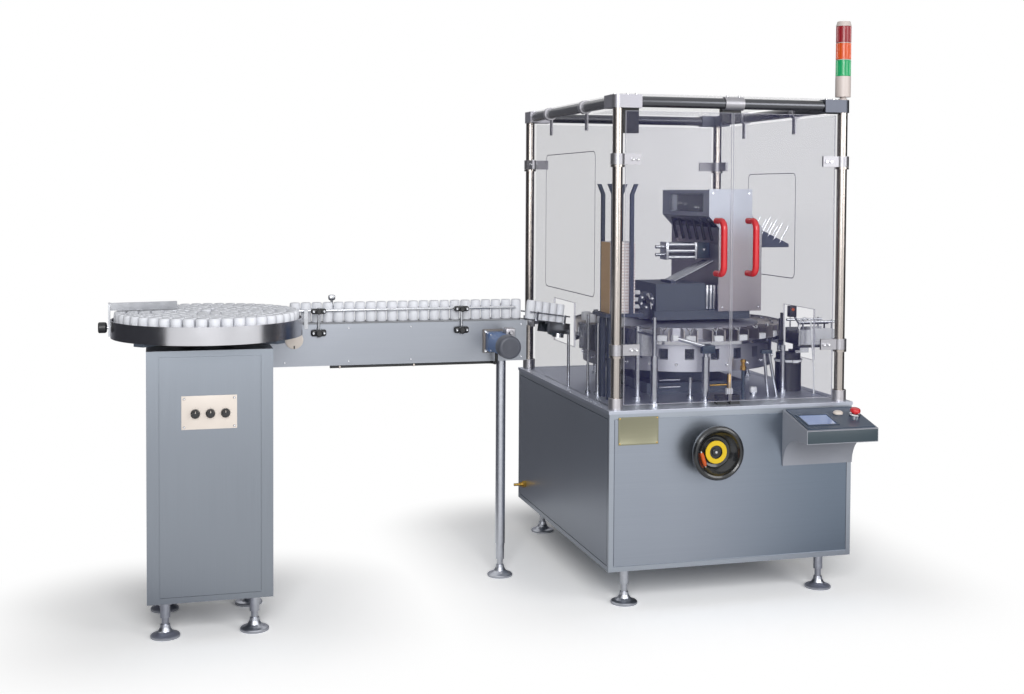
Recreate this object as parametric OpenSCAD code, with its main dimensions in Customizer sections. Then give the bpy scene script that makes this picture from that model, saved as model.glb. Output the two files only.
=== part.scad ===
// Automatic cartoner with rotary bottle table, millimetres, Z up

/* [Cabinet] */
// Width of the cabinet
cabinet_w = 980; // [940:1:1040]
// Depth of the cabinet
cabinet_d = 1220; // [1190:1:1280]
// Height of the cabinet body
cabinet_h = 578; // [560:1:620]
// Free height under the cabinet
foot_h = 142; // [125:1:165]
// Thickness of the deck plate
deck_t = 12; // [10:1:16]
// Width of the corner strips beside the panels
strip_w = 18; // [14:1:24]

/* [Guard] */
// Diameter of the posts
post_d = 38; // [34:1:42]
// Distance of the post axes from the cabinet sides
post_inset = 36; // [34:1:40]
// Height of the rail axes above the deck
guard_h = 1125; // [1090:1:1180]
// Diameter of the top rails
rail_d = 40; // [36:1:44]
// Thickness of the clear panels
panel_t = 8; // [6:1:10]

/* [Doors] */
// Length of a door handle between its legs
handle_l = 196; // [160:1:230]
// Diameter of the handle bar
handle_d = 24; // [18:1:26]
// Reach of the handle in front of the door
handle_reach = 70; // [60:1:85]
// Distance of the handle from the parting line
handle_off = 64; // [50:1:90]

/* [Ports] */
// Width of the infeed port
in_port_w = 272; // [240:1:290]
// Width of the outfeed port
out_port_w = 258; // [220:1:280]
// Distance the outfeed stands out of the guard
out_reach = 120; // [80:1:140]

/* [Console] */
// Width of the console
console_w = 290; // [270:1:310]
// Distance the console stands out
console_d = 192; // [180:1:210]
// Outside diameter of the handwheel
wheel_d = 202; // [180:1:220]

/* [Carousel] */
// Number of carton pockets
pocket_n = 24; // [20:4:28]
// Radius of the carousel drum
drum_r = 385; // [375:1:388]
// Radius of the fin tips
fin_r = 424; // [416:1:428]
// Clear width of a pocket
pocket_w = 46; // [40:1:52]

/* [Infeed] */
// Distance of the bottle lane from the cabinet front
lane_y = 530; // [520:1:540]
// Height of the conveyor above the deck
belt_rise = 294; // [288:1:300]
// Length of the conveyor side plates
conv_l = 968; // [920:1:1020]
// Gap between conveyor and cabinet
conv_gap = 178; // [165:1:190]
// Width of the turntable column
column_w = 420; // [400:1:440]
// Free height under the column
column_foot_h = 129; // [115:1:145]
// Outside radius of the turntable rim
rim_r = 330; // [318:1:342]
// Diameter of a bottle
bottle_d = 40; // [38:1:41]
// Height of a bottle
bottle_h = 75; // [68:1:80]

/* [Fits] */
// Radial play of a running shaft
run_fit = 0.06; // [0.03:0.01:0.1]
// Play where a piece is slid on
slide_fit = 0.1; // [0.05:0.01:0.2]
// Free space beside a moving piece
free_gap = 6; // [5:1:8]

/* [Hidden] */
$fn = 64;
skin_t = 4;
groove = 3;
deck_lip = 3;
body_top = foot_h + cabinet_h;
deck_top = body_top + deck_t;
post_x1 = cabinet_w - post_inset;
post_y1 = cabinet_d - post_inset;
mid_x = cabinet_w / 2;
mid_y = cabinet_d / 2;
rail_z = deck_top + guard_h;
rail_r = rail_d / 2;
post_r = post_d / 2;
collar_d = post_d + 14;
collar_h = 42;
block_w = rail_d + 8;
block_h = rail_d + 8;
block_arm = 85;
post_top = rail_z - block_h / 2;
block_top = rail_z + block_h / 2;
roof_inset = 18;
roof_t = 6;
panel_top = rail_z - rail_r - 10;
panel_edge = post_r + 11;
clamp_h = 40;
clamp_reach = 86;
clamp_t = 10;
clamp_d = post_d + 14;
clamp_low = deck_top + 198;
clamp_high = deck_top + 895;
set_h = 8;
sleeve_l = 76;
sleeve_d = rail_d + 10;
set_gap = 1;
door_gap = free_gap;
door_bottom = deck_top + 14;
door_top = panel_top - 4;
handle_z = deck_top + 592;
handle_bend = handle_d + 6;
pocket_depth = 4;

in_port_y = 525;
in_port_z = deck_top + 173;
in_port_h = 176;
out_port_y = 237;
out_port_z = deck_top + 130;
out_port_h = 202;

belt_z = deck_top + belt_rise;
conv_in = 92;
side_t = 4;
side_h = 158;
side_top = belt_z - 4;
side_low = side_top - side_h;
plate_y0 = lane_y - conv_in / 2 - side_t;
plate_y1 = lane_y + conv_in / 2;
conv_x1 = -conv_gap;
conv_x0 = conv_x1 - conv_l;
table_y = plate_y0 - column_w / 2;
table_x = conv_x0 - sqrt(pow(rim_r + free_gap, 2) - pow(column_w / 2, 2));
column_x0 = table_x - column_w / 2;
column_x1 = table_x + column_w / 2;
column_y0 = table_y - column_w / 2;
column_top = belt_z - 41;
disc_t = 6;
rim_t = 4;
disc_r = rim_r - rim_t - free_gap;
rim_low = belt_z - disc_t - free_gap;
rim_top = belt_z + 49;
spider_t = 10;
spider_w = 44;
hub_r = 62;
spin_r = 20;

arm_out = 40;
arm_z = belt_z + bottle_h + 5;
x_min = table_x - rim_r - arm_out;
x_max = post_x1 + out_reach;
y_min = -console_d;
y_max = cabinet_d + deck_lip;
org_x = (x_min + x_max) / 2;
org_y = (y_min + y_max) / 2;

car_x = mid_x;
car_y = lane_y + 30;
drum_low = deck_top + 106;
drum_top = deck_top + 214;
plate_t = 12;
fin_base = drum_top + plate_t;
fin_h = 42;
fin_t = 5;
fin_top = fin_base + fin_h;
core_r = fin_r - 94;
shaft_r = 45;
ring_r = fin_r + free_gap;
ring_w = 4;
ring_z = deck_top + 168;
ring_h = 103;
low_ring_h = 44;
ring_gap = 11;
nut_h = 12;
pillar_d = 20;
pillar_r = ring_r + ring_w + pillar_d / 2 - 2;
tall_x = mid_x - 285;
tall_y = post_inset + 49;
index_w = 420;
index_h = 42;
index_top = drum_low - 10;

stand_z = ring_z + ring_h + ring_gap;
stand_t = 36;
fold_mid = mid_x + 30;
stand_x0 = fold_mid - 180;
stand_x1 = fold_mid + 235;
stand_leg = 80;
stand_y1 = car_y + ring_r + ring_w + free_gap + stand_leg;
folder_y0 = car_y - 140;
folder_y1 = folder_y0 + 500;
folder_z = stand_z + stand_t;
folder_top = deck_top + 806;
cover_t = 8;
cover_lip = 3;
fold_x0 = fold_mid + 92;
fold_x1 = fold_x0 + 183;
fold_shift = 44;
fold_knee = deck_top + 654;
fold_step = 46;
feed_box_h = 110;
feed_box_l = 270;
feed_box_x1 = fold_x0 - 50;
rib_d = 16;
cyl_y = folder_y0 + 90;
cyl_w = 72;
cyl_z = deck_top + 556;
tray_gap = 12;
tray_out = post_x1 - panel_t / 2 - tray_gap - fold_x1;
tray_z = deck_top + 572;
tray_h = 76;
tray_w = 92;
tray_t = 5;

mag_x0 = post_inset + 48;
mag_x1 = mag_x0 + 104;
mag_y0 = post_inset + 209;
mag_y1 = mag_y0 + 105;
mag_z = deck_top + 330;
mag_plate = 12;
mag_top = deck_top + 826;
mag_bar = 14;
stack_h = 272;

out_w = 116;
out_y0 = out_port_y + 35;
out_y1 = out_y0 + out_w;
out_mid = (out_y0 + out_y1) / 2;
out_x0 = post_x1 - 48;
out_belt_z = deck_top + 232;
out_roll = 20;
out_low = out_belt_z - 2 * out_roll - 6;
out_wall = 5;
drive_r = 52;
drive_top = out_port_z + 22;
drive_x = post_x1 - panel_t / 2 - drive_r - 8;

console_x0 = cabinet_w - console_w;
console_top = deck_top - 20;
console_lip = 50;
console_drop = 48;
console_foot = 212;
slope = atan(console_drop / console_d);
slope_l = sqrt(pow(console_drop, 2) + pow(console_d, 2));
face_t = 4;
screen_w = 118;
screen_h = 88;
screen_u = 26;
screen_v = 40;

wheel_x = mid_x - 94;
wheel_z = deck_top - 157;
wheel_shaft = 24;
boss_d = 66;
boss_h = 20;
wheel_back = boss_h + free_gap;

chute_x0 = conv_x1 + 4;
chute_x1 = car_x - ring_r - ring_w - 22;
chute_y1 = car_y + 82;
chute_dx = chute_x1 - chute_x0;
chute_dy = chute_y1 - lane_y;
chute_run = sqrt(chute_dx * chute_dx + chute_dy * chute_dy);
chute_turn = atan(chute_dy / chute_dx);
chute_fall = 8.7;
chute_l = chute_run / cos(chute_fall);
chute_z = belt_z - 2;
chute_w = bottle_d + 16;

motor_x = conv_x1 - 132;
motor_z = belt_z - 82;
motor_box = 76;
leg_x = conv_x1 - 90;
leg_d = 38;
conv_roll = 34;
belt_t = 4;
guide_d = 10;
guide_off = bottle_d / 2 + guide_d;
guide_z = belt_z + 46;

tower_r = 29;
tower_z = block_top + 12;
tower_base = 78;
lamp_h = 62;
lamp_seam = 2;
stop_u = console_w - 42;
stop_v = slope_l * 0.52;
stop_stem = 16;
collar_t = 12;
stop_travel = 5;
knob_pitch = 50;
knob_z = belt_z - 255;
knob_shaft = 8;
knob_d = 34;
knob_gap = 2;
lift = 0.3;
ring_step = bottle_d + 1.4;
ring_n = 6;
outer_r = disc_r - bottle_d / 2 - 1;

// Moves a piece from cabinet coordinates to the shared origin
module place() {
  translate([-org_x, -org_y, 0]) children();
}

module box(x0, y0, z0, x1, y1, z1) {
  translate([x0, y0, z0]) cube([x1 - x0, y1 - y0, z1 - z0]);
}

module at_posts() {
  for (x = [post_inset, post_x1]) {
    for (y = [post_inset, post_y1]) {
      translate([x, y, 0]) children();
    }
  }
}

// Cabinet core with shallow recesses for the panels
module base_cabinet() {
  inner = strip_w;
  color([0.55, 0.57, 0.6]) place() difference() {
    box(0, 0, foot_h, cabinet_w, cabinet_d, body_top);
    box(inner, -1, foot_h + inner, cabinet_w - inner, skin_t, body_top - inner);
    box(inner, cabinet_d - skin_t, foot_h + inner, cabinet_w - inner, cabinet_d + 1, body_top - inner);
    box(-1, inner, foot_h + inner, skin_t, cabinet_d - inner, body_top - inner);
    box(cabinet_w - skin_t, inner, foot_h + inner, cabinet_w + 1, cabinet_d - inner, body_top - inner);
    translate([wheel_x, -1, wheel_z]) rotate([-90, 0, 0]) cylinder(d = wheel_shaft + 8, h = 82);
  }
}

// Four sheet panels, the front one with the bearing boss of the handwheel
module cabinet_panels() {
  low = foot_h + strip_w + groove;
  high = body_top - strip_w - groove;
  side = strip_w + groove;
  color([0.62, 0.65, 0.68]) place() {
    difference() {
      union() {
        box(side, 0, low, cabinet_w - side, skin_t, high);
        translate([wheel_x, -boss_h, wheel_z]) rotate([-90, 0, 0]) cylinder(d = boss_d, h = boss_h + 1);
      }
      translate([wheel_x, -boss_h - 1, wheel_z]) rotate([-90, 0, 0])
        cylinder(d = wheel_shaft + 2 * run_fit, h = boss_h + skin_t + 2);
    }
    box(side, cabinet_d - skin_t, low, cabinet_w - side, cabinet_d, high);
    box(0, side, low, skin_t, cabinet_d - side, high);
    box(cabinet_w - skin_t, side, low, cabinet_w, cabinet_d - side, high);
  }
}

module deck_plate() {
  color([0.7, 0.72, 0.74]) place()
    box(-deck_lip, -deck_lip, body_top, cabinet_w + deck_lip, cabinet_d + deck_lip, deck_top);
}

// Levelling foot with sleeve, neck and bell-shaped pad
module foot(height) {
  pad_r = 50;
  neck_r = 12;
  sleeve_r = 17;
  bell = 44;
  rotate_extrude() polygon([
    [0, 0], [pad_r, 0], [pad_r, 7], [pad_r - 3, 10], [34, 14], [24, 22], [18, 33], [16, bell],
    [neck_r, bell], [neck_r, height * 0.52], [sleeve_r, height * 0.52], [sleeve_r, height], [0, height]
  ]);
}

module levelling_feet() {
  in_x = 91;
  in_y = 80;
  col_in = 60;
  color([0.5, 0.5, 0.52]) place() {
    for (x = [in_x, cabinet_w - in_x]) {
      for (y = [in_y, cabinet_d - in_y]) {
        translate([x, y, 0]) foot(foot_h);
      }
    }
    for (x = [column_x0 + col_in, column_x1 - col_in]) {
      for (y = [column_y0 + col_in, column_y0 + column_w - col_in]) {
        translate([x, y, 0]) foot(column_foot_h);
      }
    }
    translate([leg_x, lane_y, 0]) {
      foot(column_foot_h);
      translate([0, 0, column_foot_h]) cylinder(d = leg_d, h = side_low - column_foot_h);
    }
  }
}

// Posts with base collar and the set collars that carry the door clamps
module guard_posts() {
  color([0.72, 0.7, 0.66]) place() at_posts() {
    translate([0, 0, deck_top]) cylinder(d = post_d, h = post_top - deck_top);
    translate([0, 0, deck_top]) cylinder(d = collar_d, h = collar_h);
    for (z = [clamp_low, clamp_high]) {
      translate([0, 0, z - set_gap - set_h]) cylinder(d = collar_d, h = set_h);
    }
  }
}

module top_rails() {
  long_x = cabinet_w - 2 * post_inset - 2 * block_arm;
  long_y = cabinet_d - 2 * post_inset - 2 * block_arm;
  color([0.2, 0.21, 0.23]) place() {
    for (y = [post_inset, post_y1]) {
      translate([post_inset + block_arm, y, rail_z]) rotate([0, 90, 0]) cylinder(d = rail_d, h = long_x);
    }
    for (x = [post_inset, post_x1]) {
      translate([x, post_inset + block_arm, rail_z]) rotate([-90, 0, 0]) cylinder(d = rail_d, h = long_y);
    }
  }
}

module corner_block(turn) {
  translate([0, 0, post_top]) rotate([0, 0, turn]) linear_extrude(block_h) {
    circle(d = block_w);
    translate([0, -block_w / 2]) square([block_arm, block_w]);
    translate([-block_w / 2, 0]) square([block_w, block_arm]);
  }
}

module corner_blocks() {
  color([0.25, 0.26, 0.28]) place() {
    translate([post_inset, post_inset, 0]) corner_block(0);
    translate([post_x1, post_inset, 0]) corner_block(90);
    translate([post_x1, post_y1, 0]) corner_block(180);
    translate([post_inset, post_y1, 0]) corner_block(270);
  }
}

module roof_panel() {
  edge = post_inset + roof_inset;
  color([0.85, 0.86, 0.92, 0.4]) place()
    box(edge, edge, block_top, cabinet_w - edge, cabinet_d - edge, block_top + roof_t);
}

module left_guard() {
  color([0.85, 0.86, 0.92, 0.4]) place() difference() {
    box(post_inset - panel_t / 2, post_inset + panel_edge, deck_top,
        post_inset + panel_t / 2, post_y1 - panel_edge, panel_top);
    box(0, in_port_y, in_port_z, 2 * post_inset, in_port_y + in_port_w, in_port_z + in_port_h);
  }
}

module right_guard() {
  color([0.85, 0.86, 0.92, 0.4]) place() difference() {
    box(post_x1 - panel_t / 2, post_inset + panel_edge, deck_top,
        post_x1 + panel_t / 2, post_y1 - panel_edge, panel_top);
    box(post_x1 - post_inset, out_port_y, out_port_z,
        post_x1 + post_inset, out_port_y + out_port_w, out_port_z + out_port_h);
  }
}

module rear_guard() {
  color([0.85, 0.86, 0.92, 0.4]) place()
    box(post_inset + panel_edge, post_y1 - panel_t / 2, deck_top,
        post_x1 - panel_edge, post_y1 + panel_t / 2, panel_top);
}

// Split clamp whose ear lies on the panel, ear along +X and outside at -Y
module clamp_ear(reach) {
  box(0, -panel_t / 2 - clamp_t, 0, reach, -panel_t / 2, clamp_h);
}

module clamp_ring(play) {
  difference() {
    union() {
      cylinder(d = clamp_d, h = clamp_h);
      children();
    }
    translate([0, 0, -1]) cylinder(d = post_d + 2 * play, h = clamp_h + 2);
  }
}

// Saddle that hangs on a side rail, tongue inside the panel
module rail_clip(side) {
  tongue = 70;
  width = 26;
  difference() {
    union() {
      translate([0, 0, 0]) rotate([-90, 0, 0]) cylinder(d = rail_d + 14, h = width);
      box(min(side * panel_t / 2, side * (panel_t / 2 + 6)), 0, -rail_r - tongue,
          max(side * panel_t / 2, side * (panel_t / 2 + 6)), width, 0);
    }
    translate([0, -1, 0]) rotate([-90, 0, 0]) cylinder(d = rail_d + 2 * slide_fit, h = width + 2);
    box(-panel_t / 2 - 0.01, -1, -rail_r - tongue - 1, panel_t / 2 + 0.01, width + 1, -rail_r - 5);
  }
}

module panel_clips() {
  color([0.62, 0.62, 0.64]) place() {
    for (z = [clamp_low, clamp_high]) {
      translate([post_inset, post_y1, z]) clamp_ring(slide_fit) {
        rotate([0, 0, 270]) clamp_ear(clamp_reach);
        mirror([0, 1, 0]) clamp_ear(clamp_reach);
      }
      translate([post_x1, post_y1, z]) clamp_ring(slide_fit) {
        mirror([1, 0, 0]) rotate([0, 0, 270]) clamp_ear(clamp_reach);
        rotate([0, 0, 180]) clamp_ear(clamp_reach);
      }
    }
    for (y = [mid_y - 210, mid_y + 260]) {
      translate([post_inset, y, rail_z]) rail_clip(1);
      translate([post_x1, y, rail_z]) rail_clip(-1);
    }
    translate([mid_x - sleeve_l / 2, post_inset, rail_z]) rotate([0, 90, 0]) difference() {
      cylinder(d = sleeve_d, h = sleeve_l);
      translate([0, 0, -1]) cylinder(d = rail_d + 2 * slide_fit, h = sleeve_l + 2);
    }
  }
}

module door_sheet() {
  box(post_inset + panel_edge, post_inset - panel_t / 2, door_bottom,
      mid_x - door_gap / 2, post_inset + panel_t / 2, door_top);
}

module door_clamps() {
  for (z = [clamp_low, clamp_high]) {
    translate([post_inset, post_inset, z]) clamp_ring(run_fit) clamp_ear(clamp_reach);
  }
}

module door_handle() {
  bar = handle_l - 2 * handle_bend;
  leg = handle_reach - handle_bend;
  translate([mid_x - handle_off, post_inset - panel_t / 2, handle_z]) {
    translate([0, -handle_reach, -bar / 2]) cylinder(d = handle_d, h = bar);
    for (s = [-1, 1]) {
      translate([0, 0, s * handle_l / 2]) rotate([90, 0, 0]) cylinder(d = handle_d, h = leg);
      translate([0, -leg, s * bar / 2]) rotate([90, 0, 90]) rotate([0, 0, s > 0 ? 90 : 180])
        rotate_extrude(angle = 90) translate([handle_bend, 0]) circle(d = handle_d);
    }
  }
}

// Mirrors a piece of the left door to the right door
module other_door() {
  translate([cabinet_w, 0, 0]) mirror([1, 0, 0]) children();
}

module left_door() {
  color([0.85, 0.86, 0.92, 0.4]) place() door_sheet();
}

module left_hinges() {
  color([0.7, 0.7, 0.72]) place() door_clamps();
}

module left_handle() {
  color([0.75, 0.1, 0.12]) place() door_handle();
}

module right_door() {
  color([0.85, 0.86, 0.92, 0.4]) place() other_door() door_sheet();
}

module right_hinges() {
  color([0.7, 0.7, 0.72]) place() other_door() door_clamps();
}

module right_handle() {
  color([0.75, 0.1, 0.12]) place() other_door() door_handle();
}

// Two stops on the deck and a block under the front rail
module door_catches() {
  back = post_inset + panel_t / 2 + free_gap;
  color([0.12, 0.12, 0.13]) place() {
    for (x = [mid_x - 46, mid_x + 6]) {
      box(x, back, deck_top, x + 40, back + 30, deck_top + 34);
    }
    box(post_inset + 25, back, post_top - 90, post_inset + block_arm, back + 36, post_top);
    difference() {
      box(mid_x - 38, back, door_top - 32, mid_x + 38, back + 28, rail_z);
      translate([0, post_inset, rail_z]) rotate([0, 90, 0])
        cylinder(d = sleeve_d + 2 * slide_fit, h = cabinet_w);
    }
  }
}

module tower_lamp(step) {
  low = tower_z + tower_base + step * (lamp_h + lamp_seam);
  translate([post_x1, post_inset, low]) {
    cylinder(r = tower_r, h = lamp_h);
    translate([0, 0, lamp_h]) cylinder(r = tower_r - 2, h = lamp_seam);
  }
}

module signal_body() {
  cap_z = tower_z + tower_base + 3 * (lamp_h + lamp_seam);
  color([0.85, 0.85, 0.83]) place() translate([post_x1, post_inset, 0]) {
    translate([0, 0, block_top]) cylinder(r = 11, h = tower_z - block_top);
    translate([0, 0, block_top]) cylinder(r = 16, h = 6);
    translate([0, 0, tower_z]) cylinder(r = tower_r, h = tower_base);
    translate([0, 0, cap_z]) cylinder(r1 = tower_r, r2 = tower_r - 5, h = 16);
  }
}

module green_lamp() {
  color([0.1, 0.6, 0.35]) place() tower_lamp(0);
}

module amber_lamp() {
  color([0.9, 0.5, 0.1]) place() tower_lamp(1);
}

module red_lamp() {
  color([0.8, 0.08, 0.1]) place() tower_lamp(2);
}

// Side outline of the console, x is the distance from the cabinet front
module console_outline() {
  low = console_drop + console_lip;
  arc_r = console_foot - low;
  difference() {
    polygon([
      [0, 0], [console_d, -console_drop], [console_d, -low],
      [arc_r, -low], [arc_r, -console_foot], [0, -console_foot]
    ]);
    translate([arc_r + 6, -console_foot]) circle(r = arc_r);
  }
}

module console_box() {
  color([0.3, 0.32, 0.36]) place() translate([cabinet_w, 0, console_top])
    rotate([90, 0, -90]) linear_extrude(console_w) console_outline();
}

// Puts a piece on the sloping console top, u from the left, v from the front
module on_slope(u, v) {
  translate([console_x0 + u, -console_d, console_top - console_drop]) rotate([slope, 0, 0])
    translate([0, v, 0]) children();
}

module console_face() {
  rim = 8;
  color([0.12, 0.15, 0.24]) place() difference() {
    on_slope(rim, rim) cube([console_w - 2 * rim, slope_l - 2 * rim, face_t]);
    on_slope(screen_u, screen_v) translate([0, 0, face_t - 1]) cube([screen_w, screen_h, 2]);
  }
}

module console_switches() {
  color([0.75, 0.76, 0.78]) place() {
    on_slope(stop_u, stop_v) translate([0, 0, face_t]) difference() {
      cylinder(d = 42, h = collar_t);
      translate([0, 0, -1]) cylinder(d = stop_stem + 2 * run_fit, h = collar_t + 2);
    }
    on_slope(stop_u - 54, slope_l * 0.66) translate([0, 0, face_t]) {
      cylinder(d = 30, h = 8);
      cylinder(d = 22, h = 15);
    }
  }
}

module stop_button() {
  color([0.75, 0.08, 0.08]) place() on_slope(stop_u, stop_v) translate([0, 0, face_t]) {
    translate([0, 0, stop_travel + 1]) cylinder(d = stop_stem, h = collar_t + 2);
    translate([0, 0, collar_t + stop_travel + 1]) cylinder(d = 38, h = 8);
    translate([0, 0, collar_t + stop_travel + 9]) cylinder(d1 = 38, d2 = 26, h = 6);
  }
}

// Dished wheel, drawn about its axis, back towards the cabinet
module handwheel() {
  r = wheel_d / 2;
  dish = 40;
  color([0.1, 0.1, 0.11]) place() translate([wheel_x, 0, wheel_z]) {
    translate([0, -wheel_back, 0]) rotate([-90, 0, 0]) cylinder(d = wheel_shaft, h = wheel_back + 60);
    translate([0, -wheel_back, 0]) rotate([90, 0, 0]) rotate_extrude() polygon([
      [0, 0], [44, 0], [48, 3], [r - 24, dish - 12], [r - 10, dish - 10], [r - 2, dish - 4], [r, dish + 4],
      [r - 2, dish + 14], [r - 9, dish + 20], [r - 18, dish + 18], [r - 24, dish + 8], [r - 34, dish - 2],
      [46, 12], [0, 12]
    ]);
    translate([0, -wheel_back - 11, 0]) rotate([90, 0, 0]) cylinder(d = 30, h = 16);
    rotate([0, 215, 0]) translate([40, -wheel_back - 18, 0]) rotate([0, 90, 0]) cylinder(d = 20, h = 52);
  }
}

module air_inlet() {
  hex_w = 30;
  barb_r = 6;
  color([0.75, 0.6, 0.25]) place() translate([0, cabinet_d - 113, deck_top - 508]) rotate([0, -90, 0]) {
    cylinder(d = hex_w, h = 14, $fn = 6);
    translate([0, 0, 14]) cylinder(d = 20, h = 12);
    translate([0, 0, 26]) cylinder(r = barb_r, h = 26);
  }
}

module index_base() {
  color([0.3, 0.31, 0.34]) place() translate([car_x, car_y, 0]) difference() {
    union() {
      translate([-index_w / 2, -index_w / 2, deck_top]) cube([index_w, index_w, index_h]);
      translate([0, 0, deck_top + index_h - 1])
        cylinder(d = index_w - 60, h = index_top - deck_top - index_h + 1);
    }
    translate([0, 0, deck_top + 10]) cylinder(r = shaft_r + run_fit, h = index_top);
  }
}

// Drum with a blind window at every pocket, plate, core and shaft
module carousel_drum() {
  win_w = pocket_w - 10;
  win_h = 42;
  win_deep = 26;
  color([0.55, 0.55, 0.6]) place() translate([car_x, car_y, 0]) difference() {
    union() {
      translate([0, 0, deck_top + 16]) cylinder(r = shaft_r, h = drum_low - deck_top);
      translate([0, 0, drum_low]) cylinder(r = drum_r, h = drum_top - drum_low);
      translate([0, 0, drum_top]) cylinder(r = fin_r, h = plate_t);
      translate([0, 0, fin_base]) cylinder(r = core_r, h = fin_h);
    }
    for (i = [0 : pocket_n - 1]) {
      rotate([0, 0, i * 360 / pocket_n])
        translate([drum_r - win_deep, -win_w / 2, drum_top - win_h - 20]) cube([win_deep + 1, win_w, win_h]);
    }
  }
}

module carousel_fins() {
  color([0.75, 0.76, 0.8]) place() translate([car_x, car_y, fin_base]) {
    for (i = [0 : pocket_n - 1]) {
      rotate([0, 0, i * 360 / pocket_n]) {
        for (s = [-1, 1]) {
          translate([core_r + lift, s * (pocket_w + fin_t) / 2 - fin_t / 2, 0])
            cube([fin_r - core_r - fin_t, fin_t, fin_h]);
        }
      }
    }
  }
}

module guide_arc(from, sweep, h, thin) {
  rotate([0, 0, from]) rotate_extrude(angle = sweep)
    translate([ring_r + thin, ring_z + thin]) square([ring_w - 2 * thin, h]);
}

// Pillar with a base nut
module pillar(d, top) {
  translate([0, 0, deck_top]) cylinder(d = d, h = top - deck_top);
  translate([0, 0, deck_top]) cylinder(d = d + 12, h = nut_h);
}

// Curved carton guides on round pillars, open at the infeed, low at the outfeed, and the studs at the drum
module station_frame() {
  left = [204, 228];
  rear = [60, 120];
  right = [-40, 24];
  rod_d = 12;
  under = drum_low - 2 * free_gap;
  tie_z = ring_z + ring_h - 10;
  sleeve_top = deck_top + 185;
  first_x = car_x + pillar_r * cos(left[1]);
  first_y = car_y + pillar_r * sin(left[1]);
  tie_dx = first_x - tall_x;
  tie_dy = first_y - tall_y;
  color([0.78, 0.78, 0.8]) place() {
    translate([car_x, car_y, 0]) {
      guide_arc(184, 52, ring_h, 0);
      guide_arc(52, 96, ring_h, 0);
      guide_arc(-16, 52, ring_h, 0);
      guide_arc(-46, 32, low_ring_h, 0.8);
      for (a = concat(left, rear, right)) {
        rotate([0, 0, a]) translate([pillar_r, 0, 0]) pillar(pillar_d, a == right[0] ? ring_z + 20 : stand_z);
      }
      rotate([0, 0, 262]) translate([pillar_r, 0, 0]) pillar(pillar_d, deck_top + 192);
      for (s = [[256, 20, 82], [280, 6, under - deck_top], [300, 6, 34]]) {
        rotate([0, 0, s[0]]) translate([drum_r - s[1], 0, 0]) pillar(rod_d + 2, deck_top + s[2]);
      }
    }
    translate([tall_x, tall_y, 0]) {
      pillar(pillar_d + 8, sleeve_top);
      translate([0, 0, deck_top + nut_h]) cylinder(d = pillar_d - 4, h = stand_z + 48 - deck_top - nut_h);
    }
    translate([tall_x, tall_y, tie_z]) rotate([0, 0, atan2(tie_dy, tie_dx)]) rotate([0, 90, 0])
      cylinder(d = rod_d, h = sqrt(tie_dx * tie_dx + tie_dy * tie_dy));
    translate([post_inset + 22, car_y - 140, 0]) pillar(rod_d - 2, deck_top + 313);
  }
}

// Base plate on two legs with four bars bent outwards at the top
module mag_bars() {
  bend = 40;
  lean = 16;
  in_left = mag_x0 + 3;
  in_right = mag_x1 - 12;
  for (y = [mag_y0 - mag_bar, mag_y1]) {
    translate([0, y + mag_bar, 0]) rotate([90, 0, 0]) linear_extrude(mag_bar) {
      polygon([
        [in_left, mag_z], [in_left + mag_bar, mag_z], [in_left + mag_bar, mag_top - bend],
        [in_left + mag_bar - lean, mag_top], [in_left - lean, mag_top], [in_left, mag_top - bend]
      ]);
      polygon([
        [in_right - mag_bar, mag_z], [in_right, mag_z], [in_right, mag_top - bend],
        [in_right + lean, mag_top], [in_right + lean - mag_bar, mag_top], [in_right - mag_bar, mag_top - bend]
      ]);
    }
  }
}

module magazine() {
  leg_d = 26;
  color([0.15, 0.2, 0.38]) place() {
    mag_bars();
    box(mag_x0 - 24, mag_y0 - 24, mag_z - mag_plate, mag_x1 + 24, mag_y1 + 24, mag_z + 1);
    for (y = [mag_y0 + 10, mag_y1 - 10]) {
      translate([mag_x0 + 6, y, deck_top]) cylinder(d = leg_d, h = mag_z - deck_top - 2);
    }
  }
}

module carton_stack() {
  play = 1;
  color([0.85, 0.78, 0.74]) place()
    box(mag_x0 + play, mag_y0 + play, mag_z + 1, mag_x1 - play, mag_y1 - play, mag_z + 1 + stack_h);
}

// Column behind the carousel, table plate, the feed box on it and the ribs beside the folder
module folder_stand() {
  rib_x = feed_box_x1 + rib_d / 2;
  inset = 10;
  color([0.35, 0.36, 0.4]) place() {
    box(fold_mid - stand_leg, stand_y1 - stand_leg, deck_top, fold_mid + stand_leg, stand_y1, stand_z + 1);
    box(stand_x0, folder_y0 + inset, stand_z, stand_x1, stand_y1, folder_z);
    box(stand_x0 + inset, folder_y0 + 2 * inset, folder_z - 1,
        feed_box_x1, folder_y0 + feed_box_l, folder_z + feed_box_h);
    for (i = [0 : 2]) {
      translate([rib_x + i * rib_d, folder_y0 + 3 * inset, folder_z - 1])
        cylinder(d = rib_d + 1, h = feed_box_h - 6);
    }
  }
}

module folder_outline() {
  upper = fold_knee + fold_step;
  polygon([
    [fold_x0, folder_z], [fold_x1, folder_z], [fold_x1, fold_knee], [fold_x1 - fold_shift, upper],
    [fold_x1 - fold_shift, folder_top], [fold_x0 - fold_shift, folder_top], [fold_x0 - fold_shift, upper],
    [fold_x0, fold_knee]
  ]);
}

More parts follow.
